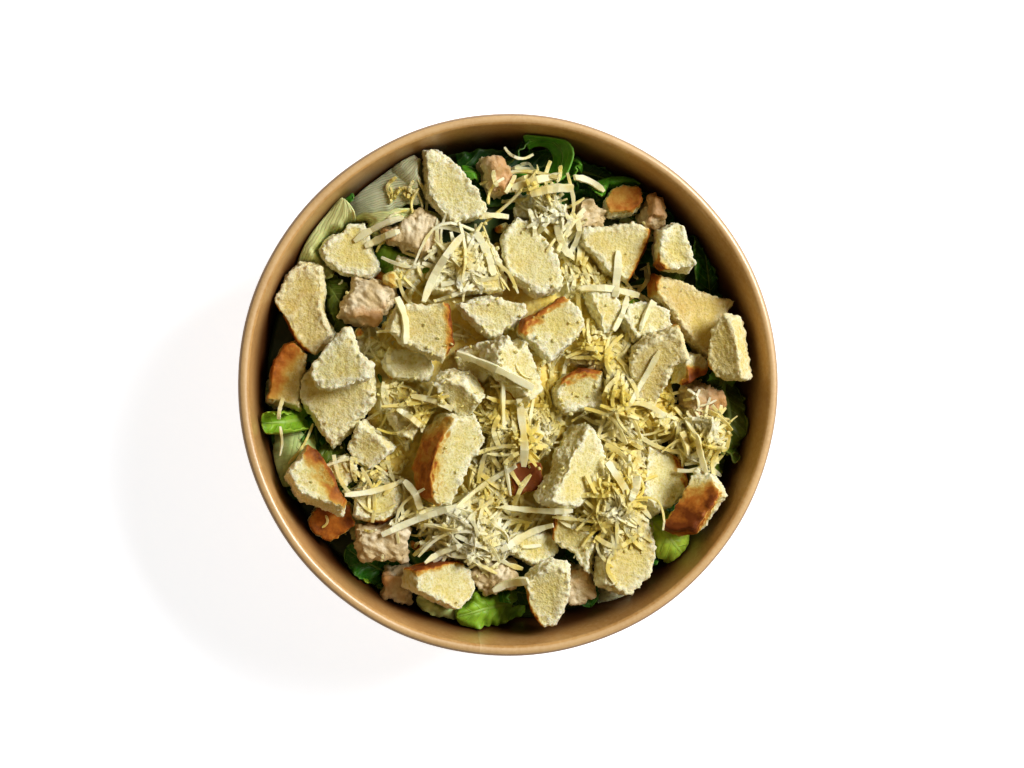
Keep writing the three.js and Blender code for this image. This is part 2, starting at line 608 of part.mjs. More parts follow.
// One arm of a shred, from a point on a shred that is already there. It hangs as
// low as what lies below it allows, and an arm that would have to climb is null.
function arm(start, bearing, length, heights) {
  let slope = -0.6;
  for (let sample = 1; sample <= SHRED_SAMPLES; sample += 1) {
    const distance = (length * sample) / SHRED_SAMPLES;
    const x = start.x + Math.cos(bearing) * distance;
    const y = start.y + Math.sin(bearing) * distance;
    const floor = heights.near(heights.index(x, y)) + SHRED_THICKNESS / 2 + GAP;
    slope = Math.max(slope, (floor - start.z) / distance);
    if (Math.hypot(x, y) > innerRadius(start.z) - 3) return null;
  }
  if (slope > STEEPEST_SHRED) return null;
  return new THREE.Vector3(Math.cos(bearing) * length, Math.sin(bearing) * length, slope * length).add(start);
}

// A strip through three points, thinner at both ends.
function shred(path) {
  const curve = new THREE.QuadraticBezierCurve3(...path);
  const up = new THREE.Vector3(0, 0, 1);
  const rings = [0, 0.5, 1].map((u) => {
    const direction = curve.getTangent(u);
    const side = up.clone().cross(direction).normalize();
    const over = direction.clone().cross(side);
    const taper = 0.55 + 0.45 * Math.sin(Math.PI * u);
    return [[1, -1], [1, 1], [-1, 1], [-1, -1]].map(([across, high]) => curve.getPoint(u)
      .addScaledVector(side, (across * taper * SHRED_WIDTH) / 2)
      .addScaledVector(over, (high * taper * SHRED_THICKNESS) / 2));
  });
  return loft(rings, path[0], path[2]);
}

function bunch({ x, y, spread, shreds }, seed, heights, laid) {
  const draw = draws(seed);
  const middle = new THREE.Vector3(x, y, heights.near(heights.index(x, y)) + GAP + SHRED_THICKNESS);
  const knots = [middle];
  let solid = null;
  let count = 0;
  for (let attempt = 0; attempt < 60 * shreds && count < shreds; attempt += 1) {
    const knot = Math.floor(draw() * knots.length);
    const start = knots[knot];
    const bearing = 2 * Math.PI * draw();
    const bend = Math.PI + 0.5 * (draw() - 0.5);
    const lengths = [0.25 + 0.5 * draw(), 0].map((part) => part * lerp(...SHRED_LENGTHS, draw()));
    lengths[1] = lerp(...SHRED_LENGTHS, draw()) - lengths[0];
    const ends = [arm(start, bearing, lengths[0], heights), arm(start, bearing + bend, lengths[1], heights)];
    if (lengths[1] < 3 || ends.includes(null)) continue;
    if (ends.some((end) => Math.hypot(end.x - x, end.y - y) > spread)) continue;
    const strip = solidOf(shred([ends[0], start, ends[1]]));
    solid = solid ? solid.add(strip) : strip;
    knots.splice(knot, 1, ...ends.map((end) => end.clone().lerp(start, 0.35)));
    count += 1;
  }
  const geometry = trimmed(geometryOf(solid), laid);
  heights.cover(geometry);
  return geometry;
}

// ---------------------------------------------------------------- the whole salad

const MATERIALS = {
  paper: { color: '#b98f60', roughness: 0.45 },
  leaf: { color: '#5c8a2e', roughness: 0.4 },
  bread: { color: '#e0cf92', roughness: 0.85 },
  meat: { color: '#cfae86', roughness: 0.6 },
  cheese: { color: '#e6dca6', roughness: 0.5 },
};

const salad = new THREE.Group();

function addPiece(name, geometry, material) {
  const finish = new THREE.MeshStandardMaterial({ ...MATERIALS[material], metalness: 0 });
  const mesh = new THREE.Mesh(geometry, finish);
  mesh.name = name;
  salad.add(mesh);
}

const numbered = (name, place) => `${name}_${String(place + 1).padStart(2, '0')}`;

const laid = [];
const heights = new Heights(heapHeight);
const chicken = CHICKEN.map((piece, place) => settle(piece, MEAT, 100 + place, heights, laid));
const croutons = CROUTONS.map((piece, place) => settle(piece, BREAD, 200 + place, heights, laid));
const leaves = lettuce(laid);
heights.cover(leaves);
const cheese = CHEESE.map((place, number) => bunch(place, 300 + number, heights, laid));

addPiece('bowl', bowl(), 'paper');
addPiece('lettuce', leaves, 'leaf');
chicken.forEach((geometry, place) => addPiece(numbered('chicken', place), geometry, 'meat'));
croutons.forEach((geometry, place) => addPiece(numbered('crouton', place), geometry, 'bread'));
cheese.forEach((geometry, place) => addPiece(numbered('cheese', place), geometry, 'cheese'));

export default salad;
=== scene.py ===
"""Chicken caesar salad in a brown paper bowl.

Lengths in the lists and functions below are in millimetres, with the bowl's foot on
the table at z = 0 and its axis at x = y = 0. MM turns them into Blender's metres,
which the panel's sizes are in. Bearings are degrees anticlockwise from +X.
"""

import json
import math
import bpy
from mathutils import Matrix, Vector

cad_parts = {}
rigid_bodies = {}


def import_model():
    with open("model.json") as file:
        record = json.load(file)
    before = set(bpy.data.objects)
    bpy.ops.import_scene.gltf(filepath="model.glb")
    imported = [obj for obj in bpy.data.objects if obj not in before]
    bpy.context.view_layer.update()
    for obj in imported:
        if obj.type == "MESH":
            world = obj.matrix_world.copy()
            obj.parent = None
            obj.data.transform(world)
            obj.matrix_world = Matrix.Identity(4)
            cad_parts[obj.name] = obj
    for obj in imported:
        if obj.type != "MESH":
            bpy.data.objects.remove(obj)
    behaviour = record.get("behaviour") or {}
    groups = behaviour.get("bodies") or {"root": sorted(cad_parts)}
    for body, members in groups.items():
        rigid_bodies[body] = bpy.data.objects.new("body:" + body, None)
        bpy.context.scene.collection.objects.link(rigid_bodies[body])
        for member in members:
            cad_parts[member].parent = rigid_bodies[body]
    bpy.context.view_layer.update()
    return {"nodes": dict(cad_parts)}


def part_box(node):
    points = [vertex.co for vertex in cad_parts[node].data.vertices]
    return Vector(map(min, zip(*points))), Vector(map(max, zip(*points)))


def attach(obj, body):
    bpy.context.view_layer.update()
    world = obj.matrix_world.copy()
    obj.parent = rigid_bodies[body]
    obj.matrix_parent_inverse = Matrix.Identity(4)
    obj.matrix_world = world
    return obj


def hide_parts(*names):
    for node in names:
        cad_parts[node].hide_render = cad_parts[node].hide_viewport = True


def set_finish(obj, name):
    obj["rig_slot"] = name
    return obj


bl_info = {
    "name": "Chicken caesar salad",
    "version": (1, 0, 0),
    "blender": (4, 5, 0),
    "location": "View3D > Sidebar > Salad",
    "description": "A bowl of lettuce, torn croutons, chopped chicken and grated cheese",
    "category": "Add Mesh",
}

from collections import namedtuple

import bmesh
import bpy
import numpy as np
from bpy.props import FloatProperty, FloatVectorProperty, IntProperty, PointerProperty
from bpy.types import Operator, Panel, PropertyGroup
from mathutils import Matrix, Vector

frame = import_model()
BOWL_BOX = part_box("bowl")

MM = 0.001
TURN = 2 * math.pi

# The bowl's inside and the heap of lettuce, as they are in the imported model.
RIM_RADIUS = BOWL_BOX[1].x / MM
BOWL_HEIGHT = BOWL_BOX[1].z / MM
FOOT_RADIUS = 64
WALL = 0.9
ROLL_RADIUS = 1.5
BASE_LIFT = 6
BASE_TOP = 7
HEAP_MIDDLE = 43
HEAP_EDGE = 37
HEAP_LUMP = 1.2
MOUNDS = ((-15, 55, 6, 12), (47, 38, 7, 9), (12, 15, 4, 12), (40, 5, 6, 14), (31, -46, 7, 14))
CLEARANCE = 0.35


def tint(red, green, blue):
    """A colour given from 0 to 255 on screen, as Blender's linear values."""
    def linear(level):
        level /= 255
        return level / 12.92 if level <= 0.04045 else ((level + 0.055) / 1.055) ** 2.4

    return (linear(red), linear(green), linear(blue), 1)


def a_colour(name, description, *levels):
    """A colour in the panel, with its usual value from 0 to 255."""
    return FloatVectorProperty(
        name=name, description=description, subtype="COLOR", size=4, default=tint(*levels))


def a_length(name, description, usual):
    """A length in the panel, in metres."""
    return FloatProperty(name=name, description=description, unit="LENGTH", default=usual)


def a_count(name, description, usual, least=0):
    return IntProperty(name=name, description=description, min=least, default=usual)


def lerp(start, end, part):
    return start + (end - start) * part


def ease(value, low, high):
    """0 below low and 1 above high, with a smooth rise between them."""
    part = np.clip((value - low) / (high - low), 0, 1)
    return part * part * (3 - 2 * part)


def toward(bearing, rise=0):
    """The unit vector on a bearing and a rise above level, both in degrees."""
    bearing, rise = math.radians(bearing), math.radians(rise)
    level = math.cos(rise)
    return Vector((level * math.cos(bearing), level * math.sin(bearing), math.sin(rise)))


def inner_radius(z):
    """The radius of the inside of the wall at a height."""
    return lerp(FOOT_RADIUS - WALL, RIM_RADIUS - 2 * ROLL_RADIUS, z / (BOWL_HEIGHT - ROLL_RADIUS))


def heap_height(x, y):
    """A low dome with soft lumps and mounds, each given as x, y, rise and spread."""
    reach = np.minimum(1, np.hypot(x, y) / inner_radius(HEAP_EDGE))
    lumps = np.sin(x / 6.1 + 1.3) * np.cos(y / 7.3 - 0.6) + 0.6 * np.sin((x + y) / 4.3)
    mounds = sum(
        rise * np.exp(-((x - at_x) ** 2 + (y - at_y) ** 2) / spread ** 2)
        for at_x, at_y, rise, spread in MOUNDS)
    return lerp(HEAP_MIDDLE, HEAP_EDGE, reach * reach) + HEAP_LUMP * lumps + mounds


# ---------------------------------------------------------------- node trees


def pick(sockets, name):
    """A socket by its place, or by its name among those that are in use."""
    if isinstance(name, int):
        return sockets[name]
    return next(socket for socket in sockets if socket.enabled and socket.name == name)


def sums(operation):
    """An operator's method and its reflected form: both add the same Math node."""
    def value_first(value, other):
        return value.tree.math(operation, value, other)

    def value_last(value, other):
        return value.tree.math(operation, other, value)

    return value_first, value_last


class Value:
    """An output socket that takes part in sums: each sum adds its Math node."""

    __add__, __radd__ = sums("ADD")
    __sub__, __rsub__ = sums("SUBTRACT")
    __mul__, __rmul__ = sums("MULTIPLY")
    __truediv__, __rtruediv__ = sums("DIVIDE")

    def __init__(self, tree, socket):
        self.tree = tree
        self.socket = socket


class Tree:
    """Adds nodes to a shader or geometry tree."""

    def __init__(self, tree):
        self.nodes = tree.nodes
        self.links = tree.links

    def feed(self, socket, value):
        if isinstance(value, Value):
            self.links.new(value.socket, socket)
        else:
            socket.default_value = value

    def node(self, kind, settings=None, inputs=None, out=0):
        """Adds a node, sets its settings and then its sockets, and gives one output."""
        node = self.nodes.new(kind)
        settings = dict(settings or {})
        stops = settings.pop("stops", None)
        for name, setting in settings.items():
            setattr(node, name, setting)
        if stops:
            elements = node.color_ramp.elements
            for place, (position, colour) in enumerate(stops):
                stop = elements[place] if place < 2 else elements.new(position)
                stop.position = position
                stop.color = colour
        for name, value in (inputs or {}).items():
            self.feed(pick(node.inputs, name), value)
        return Value(self, pick(node.outputs, out))

    def math(self, operation, *values):
        return self.node("ShaderNodeMath", {"operation": operation}, dict(enumerate(values)))

    def vector(self, operation, *values, out=0, **named):
        inputs = dict(enumerate(values)) | named
        return self.node("ShaderNodeVectorMath", {"operation": operation}, inputs, out)

    def scaled(self, vector, scale):
        return self.vector("SCALE", vector, Scale=scale)

    def dot(self, first, second):
        return self.vector("DOT_PRODUCT", first, second, out="Value")

    def part(self, vector, axis):
        """One of a vector's numbers, by the name of its axis."""
        return self.node("ShaderNodeSeparateXYZ", None, {0: vector}, axis)

    def clamp(self, value):
        return self.node("ShaderNodeClamp", None, {0: value})

    def step(self, value, low, high):
        """0 below low and 1 above high, with a smooth rise between them."""
        inputs = {"Value": value, "From Min": low, "From Max": high}
        return self.node("ShaderNodeMapRange", {"interpolation_type": "SMOOTHSTEP"}, inputs)

    def noise(self, vector, scale, detail=2.0, roughness=0.5):
        """Soft noise from 0 to 1, with so many lumps to the metre."""
        inputs = {"Vector": vector, "Scale": scale, "Detail": detail, "Roughness": roughness}
        return self.node("ShaderNodeTexNoise", None, inputs)

    def cells(self, vector, scale):
        """How far each place is from the middle of its cell, with so many to the metre."""
        return self.node("ShaderNodeTexVoronoi", {"feature": "F1"}, {"Vector": vector, "Scale": scale})

    def ramp(self, value, *stops):
        return self.node("ShaderNodeValToRGB", {"stops": stops}, {0: value})

    def mix(self, factor, first, second, blend="MIX"):
        settings = {"data_type": "RGBA", "blend_type": blend, "clamp_factor": True}
        inputs = {"Factor": factor, "A": first, "B": second}
        return self.node("ShaderNodeMix", settings, inputs, "Result")


class Finish(Tree):
    """A material with one Principled surface. The keywords are its uniform values."""

    def __init__(self, name, **uniform):
        self.material = bpy.data.materials.new(name)
        self.material.use_nodes = True
        tree = self.material.node_tree
        tree.nodes.clear()
        super().__init__(tree)
        self.surface = tree.nodes.new("ShaderNodeBsdfPrincipled")
        output = tree.nodes.new("ShaderNodeOutputMaterial")
        tree.links.new(self.surface.outputs[0], output.inputs[0])
        for word, value in uniform.items():
            self.set(word.replace("_", " ").title().replace("Ior", "IOR"), value)

    def set(self, name, value):
        self.feed(self.surface.inputs[name], value)

    def place(self, kind="Object"):
        return self.node("ShaderNodeTexCoord", None, None, kind)

    def attribute(self, name, out="Fac"):
        return self.node("ShaderNodeAttribute", {"attribute_name": name}, None, out)

    def bump(self, height, distance, strength=1.0):
        inputs = {"Height": height, "Distance": distance, "Strength": strength}
        self.set("Normal", self.node("ShaderNodeBump", None, inputs))


# The kind of socket for each kind of usual value. A material has none.
SOCKETS = {float: "Float", int: "Int", tuple: "Vector", type(None): "Material"}


class Recipe(Tree):
    """A Geometry Nodes tree with named inputs, given with their usual values."""

    def __init__(self, name, inputs):
        self.group = bpy.data.node_groups.new(name, "GeometryNodeTree")
        face = self.group.interface
        for way in ("INPUT", "OUTPUT"):
            face.new_socket("Geometry", in_out=way, socket_type="NodeSocketGeometry")
        self.identifiers = {}
        for label, usual in inputs.items():
            socket_type = f"NodeSocket{SOCKETS[type(usual)]}"
            socket = face.new_socket(label, in_out="INPUT", socket_type=socket_type)
            if usual is not None:
                socket.default_value = usual
            self.identifiers[label] = socket.identifier
        super().__init__(self.group)
        self.entry = self.nodes.new("NodeGroupInput")
        self.exit = self.nodes.new("NodeGroupOutput")

    def input(self, label):
        return Value(self, pick(self.entry.outputs, label))

    def displaced(self, geometry, normal, height):
        """Lifts the points along the normals."""
        inputs = {"Geometry": geometry, "Offset": self.scaled(normal, height)}
        return self.node("GeometryNodeSetPosition", None, inputs)

    def store(self, geometry, name, value):
        settings = {"data_type": "FLOAT", "domain": "POINT"}
        inputs = {"Geometry": geometry, "Name": name, "Value": value}
        return self.node("GeometryNodeStoreNamedAttribute", settings, inputs)

    def finish(self, geometry):
        """Ends the tree with real, painted geometry."""
        real = self.node("GeometryNodeRealizeInstances", None, {"Geometry": geometry})
        inputs = {"Geometry": real, "Material": self.input("Material")}
        self.links.new(self.node("GeometryNodeSetMaterial", None, inputs).socket, self.exit.inputs[0])

    def apply(self, obj, material, **values):
        """Runs the tree on an object and leaves a plain mesh with one material."""
        modifier = obj.modifiers.new(self.group.name, "NODES")
        modifier.node_group = self.group
        modifier[self.identifiers["Material"]] = material
        for label, value in values.items():
            modifier[self.identifiers[label.replace("_", " ").capitalize()]] = value
        return plain(obj)


# ---------------------------------------------------------------- meshes


def plain(obj):
    """Turns an object with modifiers, or a curve, into a plain mesh object."""
    graph = bpy.context.evaluated_depsgraph_get()
    mesh = bpy.data.meshes.new_from_object(obj.evaluated_get(graph), depsgraph=graph)
    name = obj.name
    bpy.data.objects.remove(obj)
    return shown(name, mesh)


def shown(name, data):
    obj = bpy.data.objects.new(name, data)
    bpy.context.scene.collection.objects.link(obj)
    return obj


def quads(*corners):
    """Faces with four corners, from one grid of point numbers for each corner."""
    return np.stack(corners, axis=-1).reshape(-1, 4)


def mesh_of(name, points, faces, material=None, smooth=True):
    """A mesh from points in millimetres."""
    mesh = bpy.data.meshes.new(name)
    mesh.from_pydata((np.asarray(points) * MM).tolist(), [], faces)
    mesh.polygons.foreach_set("use_smooth", [smooth] * len(mesh.polygons))
    if material:
        mesh.materials.append(material)
    mesh.update()
    return mesh


def write_values(mesh, name, values):
    """Stores a number or a colour for each point, or one number for all of them."""
    values = np.asarray(values, dtype=np.float32)
    if values.ndim == 0:
        values = np.full(len(mesh.vertices), values)
    if values.ndim == 1:
        mesh.attributes.new(name, "FLOAT", "POINT").data.foreach_set("value", values)
    else:
        mesh.attributes.new(name, "FLOAT_COLOR", "POINT").data.foreach_set("color", values.ravel())


def write_map(mesh, across, along):
    """Stores a place on the surface for each point as the mesh's UV map."""
    corners = np.empty(len(mesh.loops), dtype=np.int32)
    mesh.loops.foreach_get("vertex_index", corners)
    places = np.stack([across, along], axis=1).astype(np.float32)
    mesh.uv_layers.new(name="surface").data.foreach_set("uv", places[corners].ravel())


def points_of(obj):
    points = np.empty(3 * len(obj.data.vertices), dtype=np.float32)
    obj.data.vertices.foreach_get("co", points)
    return points.reshape(-1, 3) / MM


def merged(mesh, smallest=0):
    """Merges the points that coincide and, where a size is given, drops smaller edges."""
    skin = bmesh.new()
    skin.from_mesh(mesh)
    bmesh.ops.remove_doubles(skin, verts=skin.verts, dist=1e-6)
    if smallest:
        bmesh.ops.dissolve_degenerate(skin, edges=skin.edges, dist=smallest)
    skin.to_mesh(mesh)
    skin.free()
    return mesh


def skin_of(node):
    """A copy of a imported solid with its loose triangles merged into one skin."""
    mesh = merged(frame["nodes"][node].data.copy())
    mesh.materials.clear()
    return mesh


def nodes_named(kind):
    """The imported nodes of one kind, in order."""
    return sorted(name for name in frame["nodes"] if name.startswith(kind + "_"))


def hand_in(obj, slot, *nodes):
    """Rides a finished piece on the salad's body and names what it stands for."""
    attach(obj, "root")
    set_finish(obj, slot)
    if nodes:
        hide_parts(*nodes)


class Heights:
    """The highest and lowest point of what lies over each cell of a square grid."""

    CELL = 0.6
    HALF = 130

    def __init__(self, floor):
        side = np.arange(-self.HALF, self.HALF + 1) * self.CELL
        across, along = np.meshgrid(side, side, indexing="ij")
        self.top = floor(across, along)
        self.under = np.full(self.top.shape, np.inf)

    def cells(self, points):
        places = np.rint(np.asarray(points)[:, :2] / self.CELL).astype(int) + self.HALF
        places = np.clip(places, 1, 2 * self.HALF - 1)
        return places[:, 0], places[:, 1]

    def cover(self, points):
        cells = self.cells(points)
        np.maximum.at(self.top, cells, points[:, 2])
        np.minimum.at(self.under, cells, points[:, 2])

    def close(self):
        """Takes the highest top and the lowest underside of each cell's neighbourhood."""
        for grid, choose in ((self.top, np.maximum), (self.under, np.minimum)):
            source = grid.copy()
            for shift in ((1, 0), (-1, 0), (0, 1), (0, -1)):
                grid[:] = choose(grid, np.roll(source, shift, axis=(0, 1)))

    def top_at(self, points):
        return self.top[self.cells(points)]

    def under_at(self, points):
        return self.under[self.cells(points)]


def heights_over(*kinds):
    """The heights over the heap and over the finished pieces whose names start so."""
    heights = Heights(heap_height)
    for obj in bpy.context.scene.objects:
        if obj.type == "MESH" and "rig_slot" in obj and obj.name.startswith(kinds):
            heights.cover(points_of(obj))
    heights.close()
    return heights


# ---------------------------------------------------------------- bowl

# The lapped seam: its bearing, how wide the overlap is, its step and where it ends.
PAPER_SEAM = -97.4
SEAM_OVERLAP = 7
SEAM_STEP = 0.25
SEAM_TOP = 56
BOWL_SIDES = 256
FOOT_FOLD = 0.4
FOOT_TOE = 0.5
# How far in and down from the middle of the roll the wall is tucked under it.
TUCK = (0.75, 1.35)
# Waves that leave the rim a little unround, each with its depth, number and phase.
RIM_WAVES = ((0.12, 2, 1), (0.07, 5, 0), (0.04, 13, 2))
RIM_SLACK = 0.15
# The paper's surface, from the bare outside over the roll and its crest to the inside.
OUTSIDE, ROLLED, CREST, COATED = 0, 0.4, 0.6, 1
# Painted shade darkens the inside below this height, standing in for the shadow low on the wall,
# and fades out over the last part.
PAINTED_SHADE_TOP = 60 * MM
PAINTED_SHADE_FADE = 14 * MM


def bowl_outline():
    """Radius, height and surface along the turned profile: out along the underside of
    the base, up the outside, over the roll, down the inside and back to the middle."""
    roll_radius, roll_height = RIM_RADIUS - ROLL_RADIUS, BOWL_HEIGHT - ROLL_RADIUS
    foot_inside = FOOT_RADIUS - 2 * WALL
    outside = [
        (0, BASE_LIFT), (foot_inside / 2, BASE_LIFT), (foot_inside - 1, BASE_LIFT),
        (foot_inside, BASE_LIFT - 0.6), (foot_inside, FOOT_FOLD), (foot_inside + FOOT_FOLD, 0),
        (FOOT_RADIUS - FOOT_FOLD, 0), (FOOT_RADIUS, FOOT_TOE)]
    for part in np.linspace(0.1, 1, 10):
        outside.append((lerp(FOOT_RADIUS, roll_radius - TUCK[0], part),
                        lerp(FOOT_TOE, roll_height - TUCK[1], part)))
    outline = [(radius, height, OUTSIDE) for radius, height in outside]
    for turn in np.linspace(-100, 180, 20):
        angle = math.radians(turn)
        surface = COATED if turn > 130 else CREST if turn > 50 else ROLLED
        outline.append((roll_radius + ROLL_RADIUS * math.cos(angle),
                        roll_height + ROLL_RADIUS * math.sin(angle), surface))
    inside = [(inner_radius(z), z) for z in np.linspace(roll_height - 1.5, BASE_TOP + 1.2, 16)]
    corner = inner_radius(BASE_TOP)
    inside += [
        (corner - 0.4, BASE_TOP + 0.3), (corner - 1.6, BASE_TOP), (foot_inside / 2, BASE_TOP), (0, BASE_TOP)]
    outline += [(radius, height, COATED) for radius, height in inside]
    return np.array(outline, dtype=float)


def bowl_mesh(material):
    """The outline turned round, a little unround at the rim, with the lapped seam."""
    outline = bowl_outline()
    sides = np.linspace(0, 360, BOWL_SIDES, endpoint=False)
    edges = [PAPER_SEAM + step for step in (-0.12, 0.12)]
    bearings = np.unique(np.concatenate([sides, np.mod(edges, 360)]))
    angles = np.radians(bearings)[:, None]
    radius, height, coated = outline.T[:, None, :]
    past_seam = np.mod(bearings - PAPER_SEAM, 360)[:, None] * math.pi / 180 * RIM_RADIUS
    lapped = ease(past_seam, 0, 0.3) * (1 - ease(past_seam, SEAM_OVERLAP - 2, SEAM_OVERLAP))
    wall = ease(height, 8, 12) * ease(radius, FOOT_RADIUS - 2, FOOT_RADIUS - 1)
    rim = ease(height, BOWL_HEIGHT - 30, BOWL_HEIGHT)
    unround = rim * sum(depth * np.sin(times * angles + phase) for depth, times, phase in RIM_WAVES)
    radius = radius + wall * np.where(coated > 0.5, -1, 1) * SEAM_STEP * lapped * (height < SEAM_TOP)
    radius = np.where(radius > 1, radius - RIM_SLACK * rim + np.minimum(unround, RIM_SLACK), radius)
    points = np.stack([radius * np.cos(angles), radius * np.sin(angles), height + 0 * angles], axis=-1)
    count, rows = points.shape[:2]
    index = np.arange(count * rows).reshape(count, rows)
    following = np.roll(index, -1, axis=0)
    faces = quads(index[:, :-1], following[:, :-1], following[:, 1:], index[:, 1:])
    mesh = mesh_of("paper_bowl", points.reshape(-1, 3), faces.tolist(), material)
    write_values(mesh, "coated", np.broadcast_to(coated, (count, rows)).ravel())
    seam = ease(past_seam, -0.1, 0.1) * (1 - ease(past_seam, 0.35, 0.6)) * wall
    write_values(mesh, "seam", seam.ravel())
    return merged(mesh, smallest=1e-7)


def paper_finish(settings):
    finish = Finish("Brown paper", specular_ior_level=0.8, coat_roughness=0.22)
    mix, step, noise = finish.mix, finish.step, finish.noise
    place = finish.place()
    coated = finish.attribute("coated")
    fibres = noise(place, 900.0, 4.0, 0.65)
    clouds = noise(place, 60.0, 3.0)
    specks = step(noise(place, 1500.0, 1.0), 0.68, 0.76)
    colour = mix(step(clouds, 0.3, 0.7), settings.paper, settings.paper_shade)
    colour = mix(step(fibres, 0.35, 0.75) * 0.35, colour, settings.fibre)
    colour = mix(specks * 0.35, colour, settings.paper_shade, "MULTIPLY")
    colour = mix(finish.attribute("seam") * 0.7, colour, settings.fibre)
    height = finish.part(place, "Z") + clouds * 0.004
    # Painted shade: the inside wall is darker towards the food, as if in shadow there.
    above_painted_shade = step(height, PAINTED_SHADE_TOP - PAINTED_SHADE_FADE, PAINTED_SHADE_TOP)
    colour = mix((1 - above_painted_shade) * step(coated, 0.8, 0.95), colour, settings.soaked)
    # Painted shade: the outside of the roll is darkened as if in the shadow under the bead.
    rolled = step(coated, 0.2, 0.3) * (1 - step(coated, 0.5, 0.6))
    colour = mix(rolled * 0.8, colour, settings.raw_edge)
    # Painted highlight: the crest of the roll is painted lighter with the fibre colour; its coat is real
    # gloss.
    crest = step(coated, 0.5, 0.6) * (1 - step(coated, 0.7, 0.85))
    colour = mix(crest * 0.4, colour, settings.fibre)
    finish.set("Coat Weight", crest * 0.9)
    finish.set("Base Color", colour)
    finish.set("Roughness", 0.72 - coated * 0.42 + fibres * 0.1)
    finish.bump(fibres + clouds * 2, 0.00008)
    return finish.material


class BowlSettings(PropertyGroup):
    paper: a_colour("Paper", "Colour of the brown paper", 222, 178, 118)
    paper_shade: a_colour("Cloud", "Colour of its darker clouds", 200, 154, 96)
    fibre: a_colour("Fibre", "Colour of its fibres", 240, 212, 166)
    # Colour of the painted shade on the outside of the roll.
    raw_edge: a_colour("Rolled edge", "Colour of the outside of the rolled edge", 168, 142, 118)
    # Colour of the painted shade low on the inside wall.
    soaked: a_colour("Painted wall shade", "Colour of the painted shade low on the inside", 96, 58, 26)


class SALAD_OT_bowl(Operator):
    """Turn the paper bowl with its rolled edge, folded foot and lapped seam"""

    bl_idname = "salad.bowl"
    bl_label = "Paper bowl"

    def execute(self, context):
        bowl = shown("paper_bowl", bowl_mesh(paper_finish(context.scene.salad_bowl)))
        hand_in(bowl, "bowl_paper", "bowl")
        return {"FINISHED"}


# ---------------------------------------------------------------- croutons and chicken


def torn_recipe():
    """Roughens a skin: soft lumps, a grain that can run one way, pores between the
    browned parts, and the values that its finish reads."""
    recipe = Recipe("Torn surface", {
        "Lump size": 0.006,
        "Lump depth": 0.0013,
        "Grain size": 0.0014,
        "Grain depth": 0.0012,
        "Grain direction": (1.0, 0.0, 0.0),
        "Grain stretch": 1.0,
        "Face grain": 0.08,
        "Face lumps": 0.14,
        "Pore size": 0.0012,
        "Pore depth": 0.0004,
        "Crust direction": (0.0, 0.0, 1.0),
        "Crust reach": 0.0,
        "Crust depth": 0.004,
        "Crust level": 1.0,
        "Seed": 0.0,
        "Material": None,
    })
    given, step, noise, dot = recipe.input, recipe.step, recipe.noise, recipe.dot
    place = recipe.node("GeometryNodeInputPosition")
    normal = recipe.node("GeometryNodeInputNormal")
    seed = given("Seed")
    shift = recipe.node("ShaderNodeCombineXYZ", None, {0: seed, 1: seed * 1.7, 2: seed * 2.3})
    moved = recipe.vector("ADD", place, shift)

    direction = given("Grain direction")
    squeeze = dot(moved, direction) * (1 / given("Grain stretch") - 1)
    grained = recipe.vector("ADD", moved, recipe.scaled(direction, squeeze))

    crust_way = given("Crust direction")
    inward = (dot(place, crust_way) - given("Crust reach")) / given("Crust depth")
    uneven = noise(moved, 350.0) * 0.8 - 0.4
    toasted = recipe.clamp(inward + 1 + uneven * 0.5)
    crust = step(dot(normal, crust_way), 0.25, 0.6) * step(toasted, 0.35, 0.7)

    lumps = (noise(moved, 1 / given("Lump size"), 1.0) - 0.5) * 2
    fine = (noise(moved, 2.2 / given("Lump size"), 1.0) - 0.5) * 1.2
    grain = (noise(grained, 1 / given("Grain size"), 3.0, 0.6) - 0.5) * 2
    cell = recipe.cells(moved, 1 / given("Pore size"))
    pore = (1 - step(cell, 0.1, 0.65)) * (1 - crust)

    # What stands proud of the blurred form is a torn edge, and so is an upright side.
    settings = {"data_type": "FLOAT_VECTOR"}
    blurred = recipe.node("GeometryNodeBlurAttribute", settings, {"Value": place, "Iterations": 60})
    proud = dot(recipe.vector("SUBTRACT", place, blurred), normal)
    upright = 0.85 - step(recipe.math("ABSOLUTE", recipe.part(normal, "Z")), 0.5, 0.85) * 0.85
    edge = recipe.math("MAXIMUM", step(proud, -0.00015, 0.0006), upright)

    rough = (1 - crust * 0.75) * (given("Face grain") + edge)
    height = (lumps + fine) * given("Lump depth") * (given("Face lumps") + edge * 0.55)
    height = height + grain * given("Grain depth") * rough - pore * given("Pore depth")
    skin = recipe.displaced(given("Geometry"), normal, height)
    level = given("Crust level")
    marks = {
        "toasted": toasted * level,
        "crust": crust * level,
        "pore": pore,
        # The paler mark on ridges and upright sides is partly torn crumb and partly painted highlight.
        "frayed_and_highlight": step(proud, -0.0002, 0.0004) * 0.6 + edge * 0.4,
        "grain": grain,
    }
    for name, value in marks.items():
        skin = recipe.store(skin, name, value)
    recipe.finish(recipe.node("GeometryNodeSetShadeSmooth", None, {"Geometry": skin}))
    return recipe


def roughened(obj, settings, recipe, material, **values):
    """A fine skin over a closed form, roughened by the recipe."""
    remesh = obj.modifiers.new("Even skin", "REMESH")
    remesh.mode = "VOXEL"
    remesh.voxel_size = settings.fineness
    smooth = obj.modifiers.new("Worn edges", "SMOOTH")
    smooth.factor = 0.5
    smooth.iterations = settings.wear
    return recipe.apply(obj, material, **values)


def crust_values(node, bearing, rise, depth, level=1.0):
    """Which way the crust faces on a piece, how far out it is, how thick and how brown."""
    way = toward(bearing, rise)
    corners = points_of(frame["nodes"][node]) * MM
    return {
        "Crust_direction": tuple(way),
        "Crust_reach": float((corners @ np.array(way)).max()),
        "Crust_depth": depth * MM,
        "Crust_level": level,
    }


